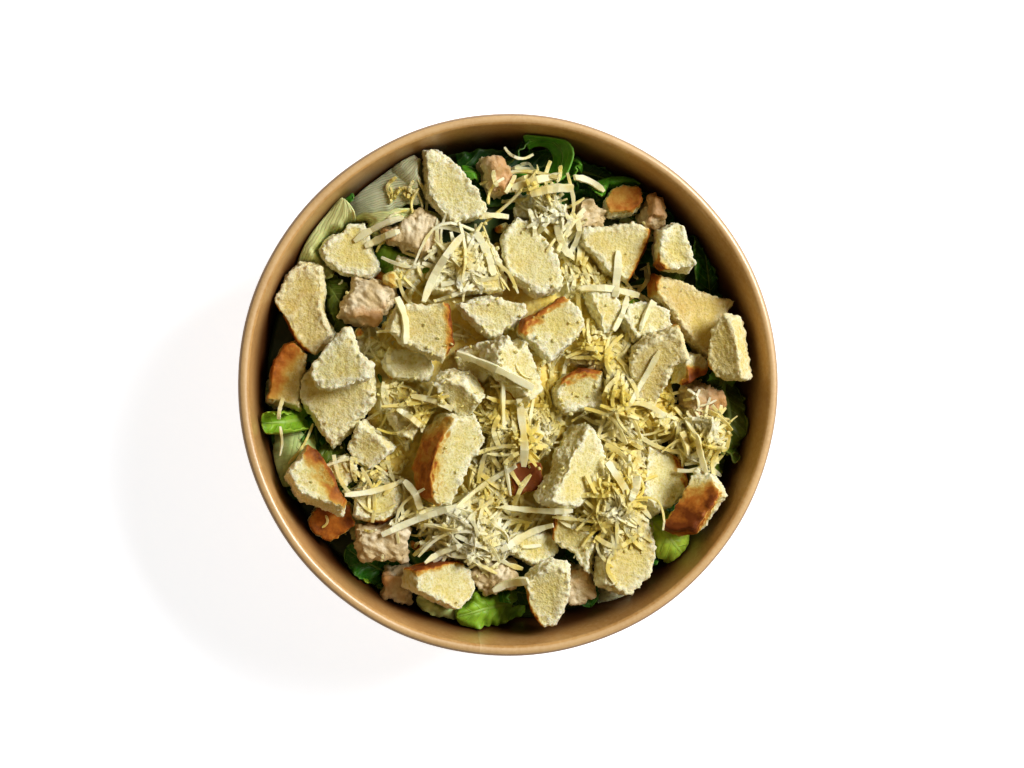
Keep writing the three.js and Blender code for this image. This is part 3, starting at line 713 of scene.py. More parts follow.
# By the number of each crouton with a crust: the way it faces, as a bearing and a rise,
# how far in the toasting goes and, where it is light, how brown it is from 0 to 1. A
# piece with a rise near 90 lies with the crust upwards.
CRUSTS = {
    1: (0, 90, 7, 0.72),
    2: (150, 45, 9, 0.8),
    3: (0, 90, 7, 0.9),
    5: (0, 90, 7),
    7: (-60, 40, 6),
    10: (-80, 0, 3.5),
    12: (155, 10, 6, 0.8),
    14: (225, 5, 4, 0.9),
    17: (215, 0, 3),
    18: (38, 20, 8, 0.92),
    19: (-20, 5, 5),
    21: (25, 10, 5),
    22: (170, 5, 3),
    23: (-125, 62, 15),
    24: (95, 10, 3.5),
    25: (205, 0, 3.5),
    29: (5, 5, 5),
    31: (128, 25, 7, 0.85),
    33: (105, 25, 6, 0.95),
    36: (178, 38, 11, 0.78),
}

# The others are a little toasted low down on one side, each turned on from the last.
SIDE_TOAST = (-40, 5)
CRUST_TURN = 77

# How golden the flat faces of some croutons are all over.
TONES = {
    2: 1, 11: 0.5, 12: 1, 13: 0.7, 16: 0.3, 17: 0.6, 19: 0.3, 20: 0.4, 22: 0.3, 29: 0.5, 38: 0.4, 39: 0.7}
USUAL_TONE = 0.1


class BreadSettings(PropertyGroup):
    fineness: a_length("Fineness", "Distance between points of the skin", 0.00035)
    wear: a_count("Wear", "How far the corners are rounded", 10, 1)
    pore: a_length("Pore", "Distance between pores", 0.0012)
    pore_depth: a_length("Pore depth", "Depth of a pore", 0.00018)
    crumb: a_colour("Crumb", "Colour of the torn crumb", 230, 222, 154)
    # The torn colour is also painted highlight on the ridges and sides.
    torn: a_colour("Torn edges", "Colour of its torn edges", 250, 248, 222)
    # Colour of the painted shade in the pores and cells.
    hollow: a_colour("Pores", "Colour inside the pores", 212, 198, 112)
    oiled: a_colour("Oiled", "Colour where oil soaked in", 238, 216, 118)
    golden: a_colour("Golden", "Colour of lightly toasted bread", 216, 180, 92)
    crust: a_colour("Crust", "Colour of the crust", 192, 122, 48)
    dark_crust: a_colour("Dark crust", "Colour of its darkest parts", 126, 68, 24)


def bread_finish(settings):
    finish = Finish(
        "Toasted bread", subsurface_weight=0.5, subsurface_scale=0.0009,
        subsurface_radius=(1, 0.85, 0.6), specular_ior_level=0.3)
    mix, step, noise, clamp = finish.mix, finish.step, finish.noise, finish.clamp
    place = finish.place()
    pore, frayed_and_highlight, crust, toasted, tone = map(
        finish.attribute, ("pore", "frayed_and_highlight", "crust", "toasted", "tone"))
    patches = noise(place, 260.0, 2.0)
    specks = noise(place, 1400.0, 2.0)
    # Painted highlight: small white specks over the crumb, and the cell walls below are painted lighter too.
    speck_highlight = step(noise(place, 2300.0, 2.0), 0.5, 0.62)
    walls = step(finish.cells(place, 1500.0), 0.15, 0.7)
    oily = step(noise(place, 110.0, 1.0), 0.46, 0.66)
    ragged = step(noise(place, 190.0, 2.0), 0.4, 0.62)

    gold = clamp(step(patches, 0.45, 0.75) * 0.3 + tone * 0.6)
    pale = mix(gold, settings.crumb, settings.golden)
    # Paler on ridges, sides, cell walls and specks: partly the torn crumb, partly painted highlight.
    white = clamp(frayed_and_highlight * (0.6 + ragged * 0.4) + walls * 0.2 + speck_highlight * (0.2 + ragged * 0.2))
    pale = mix(white * (1 - tone * 0.5), pale, settings.torn)
    pale = mix(oily * (0.42 - frayed_and_highlight * 0.35), pale, settings.oiled)
    # Painted shade: darker inside the pores and cells of the crumb.
    hollow = clamp(pore * 0.2 + (1 - walls) * 0.24) * (1 - frayed_and_highlight * 0.7)
    pale = mix(hollow, pale, settings.hollow)

    speckled = (patches - 0.5) * 0.8 * toasted + (specks - 0.5) * 0.2
    warmth = clamp(toasted * 0.8 + crust * 0.3 + speckled)
    baked = finish.ramp(
        warmth,
        (0.3, settings.crumb),
        (0.55, settings.golden),
        (0.78, settings.crust),
        (1.0, settings.dark_crust),
    )
    finish.set("Base Color", mix(step(warmth, 0.25, 0.6), pale, baked))
    finish.set("Roughness", 0.9 - crust * 0.35)
    finish.bump(specks * 0.3 + (walls * 0.7 + speck_highlight * 0.5) * (1 - crust), 0.0001)
    return finish.material


class SALAD_OT_croutons(Operator):
    """Tear the surface of every crouton and toast its crust"""

    bl_idname = "salad.croutons"
    bl_label = "Croutons"

    def execute(self, context):
        settings = context.scene.salad_bread
        recipe = torn_recipe()
        material = bread_finish(settings)
        for number, node in enumerate(nodes_named("crouton"), 1):
            crust = CRUSTS.get(number, (CRUST_TURN * (number - 1), *SIDE_TOAST))
            bread = roughened(
                shown(f"{node}_bread", skin_of(node)), settings, recipe, material,
                Pore_size=settings.pore, Pore_depth=settings.pore_depth, Seed=0.37 * number,
                **crust_values(node, *crust))
            write_values(bread.data, "tone", TONES.get(number, USUAL_TONE))
            hand_in(bread, "crouton_bread", node)
        return {"FINISHED"}


# The browned sides of chicken, by the number of the piece, as for the crusts.
BROWNED = {
    2: (120, 60, 6),
    3: (-20, 60, 7),
    5: (160, 40, 5),
    7: (60, 60, 5),
    9: (-30, 60, 6),
    10: (190, 20, 4),
    11: (-70, 50, 5),
}
FIBRE_TURN = 50
# Soft lumps and long fibres on every side, with lengths in metres.
MEAT_SKIN = {
    "Lump_depth": 0.0026, "Lump_size": 0.0065, "Face_lumps": 0.45, "Grain_stretch": 4.5, "Face_grain": 0.9,
    "Pore_size": 0.003, "Pore_depth": 0.0002,
}


class ChickenSettings(PropertyGroup):
    fineness: a_length("Fineness", "Distance between points of the skin", 0.0004)
    wear: a_count("Wear", "How far the corners are rounded", 6, 1)
    fibre: a_length("Fibre", "Distance between fibres", 0.0011)
    fibre_depth: a_length("Fibre depth", "Depth between fibres", 0.0009)
    meat: a_colour("Meat", "Colour of cooked meat", 212, 190, 144)
    # Pale meat is also painted highlight on the raised fibres; the colour between them is painted shade in
    # the grooves.
    pale_meat: a_colour("Pale meat", "Colour of its palest fibres", 240, 228, 198)
    dark_meat: a_colour("Between fibres", "Colour between the fibres", 158, 116, 78)
    browned: a_colour("Browned", "Colour of its browned side", 206, 148, 78)


def chicken_finish(settings):
    finish = Finish(
        "Cooked chicken", subsurface_weight=0.15, subsurface_scale=0.0006,
        subsurface_radius=(1, 0.9, 0.75), specular_ior_level=0.5)
    mix, step, noise = finish.mix, finish.step, finish.noise
    place = finish.place()
    patches = noise(place, 240.0, 3.0)
    specks = noise(place, 1600.0, 2.0)
    fibre = finish.attribute("grain")
    toasted = finish.attribute("toasted")
    meat = mix(step(patches, 0.35, 0.7), settings.meat, settings.pale_meat)
    # Painted highlight on the raised fibres and painted shade in the grooves between them.
    meat = mix(step(fibre, 0.1, 0.7) * 0.5, meat, settings.pale_meat)
    meat = mix(step(fibre, -0.1, -0.7) * 0.4, meat, settings.dark_meat)
    roasted = toasted * 0.9 + (patches - 0.5) * 1.2 * toasted + (specks - 0.5) * 0.3
    brown = step(roasted, 0.3, 0.8)
    finish.set("Base Color", mix(brown * 0.7, meat, settings.browned))
    finish.set("Roughness", 0.42 + specks * 0.2)
    finish.bump(specks + fibre * 0.5, 0.00025)
    return finish.material


class SALAD_OT_chicken(Operator):
    """Give every piece of chicken its fibres and browned side"""

    bl_idname = "salad.chicken"
    bl_label = "Chicken"

    def execute(self, context):
        settings = context.scene.salad_chicken
        recipe = torn_recipe()
        material = chicken_finish(settings)
        for number, node in enumerate(nodes_named("chicken"), 1):
            bearing = FIBRE_TURN * (number - 1)
            meat = roughened(
                shown(f"{node}_meat", skin_of(node)), settings, recipe, material,
                Grain_size=settings.fibre, Grain_depth=settings.fibre_depth,
                Grain_direction=tuple(toward(bearing, 10)), Seed=0.53 * number,
                **MEAT_SKIN, **crust_values(node, *BROWNED.get(number, (bearing, *SIDE_TOAST))))
            hand_in(meat, "chicken_meat", node)
        return {"FINISHED"}


# ---------------------------------------------------------------- lettuce

GREENS = {
    "deep": tint(26, 56, 12),
    "dark": tint(46, 104, 24),
    "olive": tint(108, 128, 42),
    "mid": tint(66, 134, 34),
    "fresh": tint(104, 176, 48),
    "bright": tint(158, 202, 62),
    "lime": tint(216, 246, 96),
    "light": tint(220, 236, 166),
    "grey": tint(238, 240, 206),
    "rib": tint(240, 244, 180),
}
RIBBED = ("grey", "rib")
Leaf = namedtuple("Leaf", "x y turn length width lift roll tip frill green")

# The leaves that show: the middle of the stem end, the way the leaf runs, its size,
# how far its middle stands over the heap, how far its edges wrap upwards, in degrees
# from edge to edge, how far its tip rises, the depth of its waves and its green. A
# leaf that wraps by less than 0 has its edges turned down.
LEAVES = [
    Leaf(-14, 62, 6, 32, 14, 2, 60, 1, 1.2, "dark"),
    Leaf(14, 63, -18, 24, 12, 3, 60, 1, 1.4, "dark"),
    Leaf(30, 57, -34, 22, 12, 4, 60, 1, 1.6, "dark"),
    Leaf(-37, 54, 38, 15, 13, 10, -40, 1, 0.2, "grey"),
    Leaf(-48, 49, 14, 30, 12, 9, -30, 1, 0.2, "grey"),
    Leaf(-59, 30, 60, 25, 15, 13, -25, 1, 0.2, "rib"),
    Leaf(-53, 42, 8, 35, 9, 13, -30, 1, 0.2, "rib"),
    Leaf(-54, 44, 44, 14, 6, 9, 30, 0, 0.4, "mid"),
    Leaf(-39, 30, 20, 20, 12, 7, 60, 1, 1.2, "bright"),
    Leaf(-52, 30, -60, 13, 9, 6, 50, 0, 0.8, "olive"),
    Leaf(-59, -8, -104, 21, 13, 9, -90, 0, 0.4, "light"),
    Leaf(-55, -9, 186, 14, 14, 9, 270, 4, 0.5, "bright"),
    Leaf(-51, -13, -70, 16, 9, 6, -50, 0, 0.6, "olive"),
    Leaf(61, 24, 100, 22, 10, 6, 60, 1, 1.6, "dark"),
    Leaf(64, 2, -95, 22, 14, 11, 50, 0, 1.8, "olive"),
    Leaf(62, -12, -118, 19, 15, 10, -50, 0, 1.6, "olive"),
    Leaf(40, -37, -48, 19, 14, 11, -120, -2, 0.8, "lime"),
    Leaf(50, -44, -150, 14, 9, 5, 50, 0, 1.4, "mid"),
    Leaf(6, -63, 186, 21, 12, 10, -70, 0, 1.5, "bright"),
    Leaf(-8, -63, 172, 18, 8, 8, -40, 0, 0.8, "light"),
    Leaf(4, -60, 130, 18, 11, 5, 60, 1, 1.2, "mid"),
    Leaf(-30, -55, 150, 18, 11, 4, 60, 1, 1.2, "mid"),
    Leaf(26, -61, -8, 10, 8, 7, -40, 0, 0.4, "grey"),
]
Curl = namedtuple("Curl", "x y z turn length bend hold height lean frill green")

# Blades that stand on edge and curl round as they run: the foot of the end that they
# start from, the way they set out, their length, how far they bend and after which part
# of their length, their height, how far they lean to the right and their green.
CURLS = [
    Curl(-14, 62, 47, -6, 38, 240, 0.5, 9, 34, 0.4, "fresh"),
    Curl(15, 57, 47, 75, 14, -200, 0.3, 8, 20, 0.4, "fresh"),
    Curl(23, 57, 46, 24, 16, -50, 0.1, 8, 45, 0.6, "fresh"),
    Curl(-12, 62, 42, 10, 22, 90, 0.3, 10, 10, 0.6, "dark"),
    Curl(64, 3, 44, -95, 24, 90, 0.5, 10, 30, 1.0, "olive"),
    Curl(-2, -62, 44, 100, 14, 120, 0.3, 9, 20, 0.6, "mid"),
]
LEAF_ROWS = 56
LEAF_COLUMNS = 34
LEAF_THICKNESS = 0.4
SCRAP_ROWS = 20
SCRAP_COLUMNS = 14
SCRAP_GREENS = {"dark": 0.34, "mid": 0.26, "olive": 0.18, "bright": 0.12, "rib": 0.1}
# The folds of the heap, each size in three directions, with their depths.
CRUMPLES = ((5.5, 0.9), (3.1, 0.6), (1.7, 0.35))
HEAP_RINGS = 70
HEAP_SIDES = 220
TUCK_SOFTNESS = 4


def leaf_points(leaf, rows, columns, draw):
    """The middle surface of a leaf over the heap, with its veins and ruffled edges."""
    u = np.linspace(0, 1, rows)[:, None]
    v = np.linspace(-1, 1, columns)[None, :]
    phase = draw.uniform(0, TURN, 6)

    # Widest past the middle, with a blunt tip and a torn outline.
    half_width = leaf.width / 2 * np.sin(math.pi * lerp(0.16, 0.9, u)) ** 0.6
    half_width = half_width * np.sqrt(np.clip(1 - np.clip((u - 0.86) / 0.14, 0, 1) ** 2, 0.01, 1))
    half = np.sign(v)
    torn = 0.07 * np.sin(TURN * 3.1 * u + phase[0] + 2 * half)
    half_width = half_width * (1 + (torn + 0.04 * np.sin(TURN * 8 * u + phase[1] * half)))

    # Long waves and short ruffles along the edges.
    wave = leaf.frill * v * v * np.sin(TURN * 2.5 * (u + 0.2 * v) + leaf.x)
    swing = 1.5 * np.sin(TURN * 1.7 * u + phase[3])
    ruffle = 0.55 * leaf.frill * np.abs(v) ** 3 * np.sin(TURN * 6.5 * u + phase[2] + swing)

    # Ribs along a pale leaf. A green one is puffed up between its veins.
    if leaf.green in RIBBED:
        puffed = 0.08 * np.sin(v * 16)
        midrib = 0
    else:
        veins = np.abs(np.sin(math.pi * (leaf.length / 3.2 * u - 1.6 * np.abs(v))))
        puffed = 0.35 * veins * (1 - v ** 4) * ease(np.abs(v), 0.05, 0.25)
        midrib = -0.5 * np.exp(-((v / 0.09) ** 2)) * (1 - u)

    # Wrapped round its length, bent sideways a little and laid on the heap.
    radius = leaf.width / math.radians(leaf.roll)
    angle = v * half_width / radius
    turn = math.radians(leaf.turn)
    bend = 0.08 * leaf.length * np.sin(math.pi * u) * math.sin(phase[4])
    side = radius * np.sin(angle) + bend
    x = leaf.x + math.cos(turn) * u * leaf.length - math.sin(turn) * side
    y = leaf.y + math.sin(turn) * u * leaf.length + math.cos(turn) * side
    rise = leaf.lift * np.sin(math.pi * np.minimum(1, u * 1.4) / 2) + leaf.tip * u * u
    z = heap_height(x, y) - 1 + rise + radius * (1 - np.cos(angle)) + wave + ruffle + puffed + midrib
    return np.stack([x, y, z], axis=-1)


def curl_points(curl, rows, columns, draw):
    """The middle surface of a blade that stands on edge."""
    u = np.linspace(0, 1, rows)
    v = np.linspace(0, 1, columns)[None, :]
    heading = np.radians(curl.turn + curl.bend * ease(u, curl.hold, 1.1))
    step = curl.length / (rows - 1)
    x = (curl.x + np.cumsum(np.cos(heading)) * step)[:, None]
    y = (curl.y + np.cumsum(np.sin(heading)) * step)[:, None]
    phase = draw.uniform(0, TURN, 2)
    waves = np.sin(TURN * 4.3 * u + phase[0]) + 0.6 * np.sin(TURN * 9.7 * u + phase[1])
    frill = curl.frill * v ** 2 * waves[:, None]
    tall = curl.height * (0.6 + 0.4 * np.sin(math.pi * np.clip(u, 0.04, 0.96)))[:, None]
    lean = math.radians(curl.lean)
    out = v * tall * math.sin(lean) + frill
    side = heading[:, None] - math.pi / 2
    z = curl.z + v * tall * math.cos(lean) + 0.3 * frill
    return np.stack([x + out * np.cos(side), y + out * np.sin(side), z], axis=-1)


def mean_beside(grid):
    """The mean of the four neighbours of each cell."""
    ring = np.pad(grid, 1, mode="edge")
    return (ring[:-2, 1:-1] + ring[2:, 1:-1] + ring[1:-1, :-2] + ring[1:-1, 2:]) / 4


def tucked(points, heights):
    """Presses a leaf under the pieces that lie on it and keeps it off the wall."""
    flat = points.reshape(-1, 3)
    drop = np.maximum(0, flat[:, 2] - heights.under_at(flat) + 0.3).reshape(points.shape[:2])
    for _ in range(TUCK_SOFTNESS):
        drop = np.maximum(drop, mean_beside(drop))
    flat[:, 2] -= drop.ravel()
    radius = np.hypot(flat[:, 0], flat[:, 1])
    limit = inner_radius(flat[:, 2]) - 0.8
    flat[:, :2] *= np.minimum(1, limit / radius)[:, None]
    return points


def sheet_of(points, thickness):
    """The points and faces of a thin closed sheet over a grid of points."""
    normal = np.cross(np.gradient(points, axis=0), np.gradient(points, axis=1))
    normal /= np.linalg.norm(normal, axis=-1, keepdims=True) + 1e-9
    rows, columns = points.shape[:2]
    skin = np.concatenate([(points + normal * thickness / 2).reshape(-1, 3),
                           (points - normal * thickness / 2).reshape(-1, 3)])
    over = np.arange(rows * columns).reshape(rows, columns)
    under = over + rows * columns
    rim = np.concatenate([over[:-1, 0], over[-1, :-1], over[:0:-1, -1], over[0, :0:-1]])
    ahead = np.roll(rim, -1)
    faces = [
        quads(over[:-1, :-1], over[1:, :-1], over[1:, 1:], over[:-1, 1:]),
        quads(under[:-1, :-1], under[:-1, 1:], under[1:, 1:], under[1:, :-1]),
        quads(rim, rim + rows * columns, ahead + rows * columns, ahead),
    ]
    return skin, np.concatenate(faces)


class Leaves:
    """Gathers leaves into one mesh with their greens and the places on each."""

    def __init__(self):
        self.parts = []
        self.count = 0

    def add(self, points, green):
        skin, faces = sheet_of(points, LEAF_THICKNESS)
        rows, columns = points.shape[:2]
        across, along = np.meshgrid(np.linspace(0, 1, columns), np.linspace(0, 1, rows))
        greens = np.tile(GREENS[green], (len(skin), 1))
        ribs = np.full(len(skin), float(green in RIBBED))
        across, along = np.tile(across.ravel(), 2), np.tile(along.ravel(), 2)
        self.parts.append((skin, faces + self.count, greens, ribs, across, along))
        self.count += len(skin)

    def mesh(self, name, material):
        points, faces, greens, ribs, across, along = map(np.concatenate, zip(*self.parts))
        mesh = mesh_of(name, points, faces.tolist(), material)
        write_values(mesh, "green", greens)
        write_values(mesh, "rib", ribs)
        write_map(mesh, across, along)
        return mesh


def heap_mesh(material, draw):
    """The crumpled mass of chopped lettuce under everything else, closed below."""
    part = np.linspace(0, 1, HEAP_RINGS)[:, None]
    angle = np.linspace(0, TURN, HEAP_SIDES, endpoint=False)
    radius = part * (inner_radius(HEAP_EDGE - 2 * HEAP_LUMP) - CLEARANCE)
    x, y = radius * np.cos(angle), radius * np.sin(angle)
    crumple = np.zeros_like(x)
    for size, depth in CRUMPLES:
        for _ in range(3):
            way, phase = draw.uniform(0, TURN), draw.uniform(0, TURN)
            crumple += depth * np.sin((x * math.cos(way) + y * math.sin(way)) / size * 2 + phase) / 1.5
    top = np.stack([x, y, heap_height(x, y) - 1.2 + np.minimum(crumple, 1)], axis=-1)[::-1]
    floor = BASE_TOP + CLEARANCE
    foot = inner_radius(floor) - CLEARANCE
    skirt = np.column_stack([foot * np.cos(angle), foot * np.sin(angle), np.full(HEAP_SIDES, floor)])
    points = np.concatenate([[(0, 0, floor)], skirt, top.reshape(-1, 3)])
    loops = 1 + np.arange((HEAP_RINGS + 1) * HEAP_SIDES).reshape(-1, HEAP_SIDES)
    onward = np.roll(loops, -1, axis=1)
    faces = quads(loops[:-1], onward[:-1], onward[1:], loops[1:]).tolist()
    faces += [[0, int(b), int(a)] for a, b in zip(loops[0], onward[0])]
    mesh = merged(mesh_of("lettuce_heap", points, faces, material))
    write_values(mesh, "green", np.tile(GREENS["deep"], (len(mesh.vertices), 1)))
    write_values(mesh, "rib", 0)
    return mesh


def scrap_leaves(settings, draw):
    """Small torn leaves over the heap, closest together towards the wall."""
    scraps = []
    for _ in range(settings.scraps):
        radius = inner_radius(HEAP_EDGE) * math.sqrt(draw.uniform(0.5, 0.95)) - 5
        bearing = draw.uniform(0, TURN)
        length = draw.uniform(9, 18)
        green = str(draw.choice(list(SCRAP_GREENS), p=list(SCRAP_GREENS.values())))
        turn = draw.uniform(0, 360)
        width = length * draw.uniform(0.5, 0.8)
        lift, roll, tip, frill = (draw.uniform(*span) for span in ((1, 4), (20, 110), (0, 2), (0.5, 1.6)))
        scraps.append(Leaf(
            radius * math.cos(bearing), radius * math.sin(bearing), turn, length, width, lift, roll, tip,
            frill, green))
    return scraps


class LettuceSettings(PropertyGroup):
    scraps: a_count("Scraps", "Small torn leaves between the others", 80)
    seed: a_count("Seed", "Another seed gives other leaves of the same kind", 4)
    vein: a_colour("Vein", "Colour of the veins", 176, 196, 120)
    furrow: a_colour("Furrow", "Colour between the ribs of the pale leaves", 176, 190, 120)
    cloud: a_colour("Cloud", "Colour that the leaves are darkened with in clouds", 150, 160, 110)


def leaf_finish(settings):
    finish = Finish(
        "Lettuce leaf", subsurface_weight=0.15, subsurface_scale=0.0015, specular_ior_level=0.5)
    mix, step, noise, math_of = finish.mix, finish.step, finish.noise, finish.math
    place = finish.place()
    green = finish.attribute("green", "Color")
    rib = finish.attribute("rib")
    spot = finish.place("UV")
    across = math_of("ABSOLUTE", finish.part(spot, "X") * 2 - 1)
    along = finish.part(spot, "Y")
    warp = noise(place, 250.0, 2.0)
    clouds = noise(place, 300.0, 3.0)

    comb = math_of("FRACT", along * 8 - across * 1.6 + warp * 0.5)
    vein = (1 - step(math_of("ABSOLUTE", comb - 0.5), 0.02, 0.09)) * (1 - across)
    midrib = 1 - step(across, 0.02, 0.14 - along * 0.08)
    veins = math_of("MAXIMUM", vein * 0.6, midrib * 0.9) * (1 - rib)
    furrows = math_of("FRACT", across * 9 + warp * 0.6)
    furrow = step(math_of("ABSOLUTE", furrows - 0.5), 0.3, 0.5) * rib

    shaded = mix(1.0, green, settings.cloud, "MULTIPLY")
    colour = mix(step(clouds, 0.3, 0.7) * (0.55 - rib * 0.4), green, shaded)
    colour = mix(veins, colour, mix(0.5, green, settings.vein))
    colour = mix(step(across, 0.8, 1.0) * 0.4, colour, mix(0.4, green, settings.vein))
    finish.set("Base Color", mix(furrow * 0.3, colour, settings.furrow))
    finish.set("Roughness", 0.34 + clouds * 0.2)
    finish.bump(veins + clouds * 0.8 - furrow * 0.5, 0.00022)
    return finish.material


class SALAD_OT_lettuce(Operator):
    """Fill the bowl with lettuce, with the leaves that show on top"""

    bl_idname = "salad.lettuce"
    bl_label = "Lettuce"

    def execute(self, context):
        settings = context.scene.salad_lettuce
        draw = np.random.default_rng(settings.seed)
        material = leaf_finish(settings)
        heights = heights_over("crouton_", "chicken_")
        hand_in(shown("lettuce_heap", heap_mesh(material, draw)), "lettuce_leaf", "lettuce")
        leaves, scraps = Leaves(), Leaves()
        for leaf in LEAVES:
            leaves.add(tucked(leaf_points(leaf, LEAF_ROWS, LEAF_COLUMNS, draw), heights), leaf.green)
        for curl in CURLS:
            leaves.add(tucked(curl_points(curl, LEAF_ROWS, SCRAP_COLUMNS, draw), heights), curl.green)
        for leaf in scrap_leaves(settings, draw):
            scraps.add(tucked(leaf_points(leaf, SCRAP_ROWS, SCRAP_COLUMNS, draw), heights), leaf.green)
        for name, group in (("lettuce_leaves", leaves), ("lettuce_scraps", scraps)):
            hand_in(shown(name, group.mesh(name, material)), "lettuce_leaf", "lettuce")
        return {"FINISHED"}


# ---------------------------------------------------------------- cheese

Bunch = namedtuple("Bunch", "x y wide deep shreds size on_top rich")

# The bunches of shreds that stand for the imported ones, in the same order: the middle
# of each, how far it spreads across and along, how many shreds it has, how large they
# are, which part of them lies on the pieces and not between them, and how golden they
# are, partly the cheese's own tint and partly painted shade where it lies low and thick.
BUNCHES = [
    Bunch(-14, 34, 8, 7, 70, 0.9, 1.0, 0.2),
    Bunch(14, 44, 9, 7, 90, 0.9, 0.4, 0.2),
    Bunch(33, 0, 9, 12, 330, 0.9, 0.6, 0.6),
    Bunch(0, -15, 6, 12, 70, 1.0, 0.4, 0.5),
    Bunch(-11, -43, 9, 7, 140, 0.9, 0.8, 0.1),
    Bunch(29, -33, 9, 10, 240, 0.9, 0.7, 0.6),
    Bunch(54, -15, 6, 8, 100, 0.8, 0.8, 0.35),
]

Mat = namedtuple("Mat", "x y wide deep height")

# The mats of clumped cheese that the bunches lie on, and a thin one in the gaps.
MATS = [
    Mat(-14, 34, 8, 7, 3),
    Mat(14, 44, 9, 7, 3.5),
    Mat(33, 0, 10, 13, 4.6),
    Mat(0, -15, 7, 12, 3.6),
    Mat(-11, -43, 10, 8, 4),
    Mat(29, -33, 10, 11, 4.6),
    Mat(54, -15, 6, 8, 3.6),
    Mat(4, -3, 44, 44, 1.7),
]

# Looser shreds round and between them, and fine gratings over everything.
LOOSE = [
    Bunch(4, -2, 44, 44, 700, 0.9, 0.04, 0.3),
    Bunch(26, -4, 26, 30, 400, 0.8, 0.08, 0.9),
    Bunch(-16, -6, 30, 34, 500, 0.8, 0.05, 0.3),
    Bunch(7, 56, 8, 4, 24, 0.9, 0.6, 0.2),
    Bunch(30, 28, 9, 6, 90, 0.9, 0.6, 0.7),
    Bunch(-39, -26, 7, 6, 40, 0.8, 0.5, 0.3),
    Bunch(-22, -36, 9, 6, 70, 0.9, 0.6, 0.2),
    Bunch(-24, -7, 7, 7, 50, 0.8, 0.6, 0.3),
    Bunch(-28, 54, 8, 3, 12, 0.8, 0.6, 0.2),
    Bunch(0, 0, 42, 42, 300, 0.5, 0.12, 0.3),
]

# Long shreds that lie on top, from end to end, with the sideways bend in the middle.
LONG_SHREDS = [
    (-15.7, 8.9, 5.3, -0.8, 0.4),
    (-2.8, 0.6, 0.0, -31.0, -0.8),
    (1.8, -3.9, 3.2, -22.7, 0.5),
    (-16.2, -34.9, 1.6, -22.6, 0.8),
    (-2.8, -34.1, 16.7, -34.9, -0.5),
    (-2.8, -46.1, 11.9, -39.3, 0.6),
    (40.8, 9.6, 31.4, -6.9, 0.5),
    (-13.5, 41.8, -24.7, 22.8, -1.2),
    (-9.9, 42.3, -4.9, 30.4, 0.8),
    (-8.6, 46.7, -0.2, 47.3, 0.6),
    (-13.1, 35.3, -8.1, 31.9, -0.6),
    (0.4, 54.9, 14.0, 58.6, 0.4),
    (5.1, 53.0, 17.6, 55.3, 0.6),
    (17.8, 58.2, 26.9, 54.8, 1.4),
    (19.4, 47.8, 17.2, 36.8, 1.2),
    (13.5, 45.0, 18.9, 35.7, -1.4),
    (20.0, 27.1, 37.3, 25.5, 0.8),
    (30.7, 38.0, 29.6, 24.8, 0.3),
    (33.5, 25.1, 28.8, 15.3, 0.4),
    (49.0, -13.3, 50.2, -19.9, 0.2),
    (52.1, -13.9, 53.5, -24.2, 0.3),
    (26.5, -21.5, 32.1, -31.5, 0.3),
    (35.1, -25.4, 31.8, -31.8, 0.3),
    (-36.0, -41.5, -15.5, -33.6, 0.5),
    (-46.3, -29.9, -32.2, -27.3, -0.8),
    (-29.8, -26.6, -25.3, -34.5, 0.8),
    (-24.2, -49.2, -14.0, -44.2, 0.3),
    (-31.8, -6.7, -25.6, -11.2, 0.3),
    (-27.8, -3.1, -16.6, -6.7, 0.6),
    (-5.0, -57.5, 4.1, -54.1, 0.4),
    (-32.3, 23.8, -30.1, 11.2, 1.2),
    (36.4, 15.3, 40.6, 23.6, 0.3),
    (-43.5, 40.0, -30.0, 46.5, 0.8),
    (-40.5, 38.5, -31.0, 42.5, 0.4),
]
# Clumps that all run one way and have no crust within reach, with lengths in metres.
MAT_SKIN = {
    "Lump_depth": 0.0012, "Lump_size": 0.004, "Face_lumps": 0.5, "Grain_size": 0.0009,
    "Grain_depth": 0.0008, "Grain_stretch": 5.0, "Face_grain": 0.8, "Pore_depth": 0.0,
    "Grain_direction": tuple(toward(35)), "Crust_reach": 1.0,
}
MAT_ROWS = 72
MAT_THICKNESS = 1.4
MAT_SOFTNESS = 4
SHRED_STEPS = 9
SHRED_DROP = 0.22
SHRED_SETTLING = 26
SHORTEST_SHRED = 3.5
LONGEST_SHRED = 24
# A piece counts where it stands at least this far over what lies in the gaps.
PIECE_RISE = 2
# The shape of the gamma law that the lengths of loose shreds follow.
LENGTH_SHAPE = 3.5
# The height at which the wall keeps the shreds in.
TOP_OF_FOOD = 52

# The croutons that cheese lies on. Hardly any lies on the others.
DUSTED = (1, 2, 3, 4, 5, 6, 10, 11, 20, 22, 29, 32, 38)
BARE = tuple(node for node in nodes_named("crouton") if int(node[-2:]) not in DUSTED)


class Landing:
    """What a shred falls on: the lettuce between the pieces, or the pieces."""

    def __init__(self):
        self.gaps = heights_over("lettuce_", "bread_", "cheese_mats")
        self.pieces = heights_over("crouton_", "chicken_", "lettuce_", "bread_", "cheese_mats")
        least = self.gaps.top + PIECE_RISE
        self.hidden = self.pieces.top > least
        self.bare = heights_over(*BARE).top > least

    def on_pieces(self, line):
        return self.hidden[self.gaps.cells(line)].mean() > 0.5

    def on_bare(self, line):
        return self.bare[self.gaps.cells(line)].mean() > 0.3

    def rest(self, line, thickness, above):
        """The heights at which a limp shred comes to lie along a line."""
        heights = self.pieces if above else self.gaps
        floor = heights.top_at(line) + thickness / 2
        z = np.full(len(line), floor.max())
        for _ in range(SHRED_SETTLING):
            beside = np.concatenate([[z[1]], (z[:-2] + z[2:]) / 2, [z[-2]]])
            z = np.maximum(floor, 0.35 * z + 0.65 * beside - SHRED_DROP)
        return z

    def cover(self, points, above):
        self.pieces.cover(points)
        if not above:
            self.gaps.cover(points)


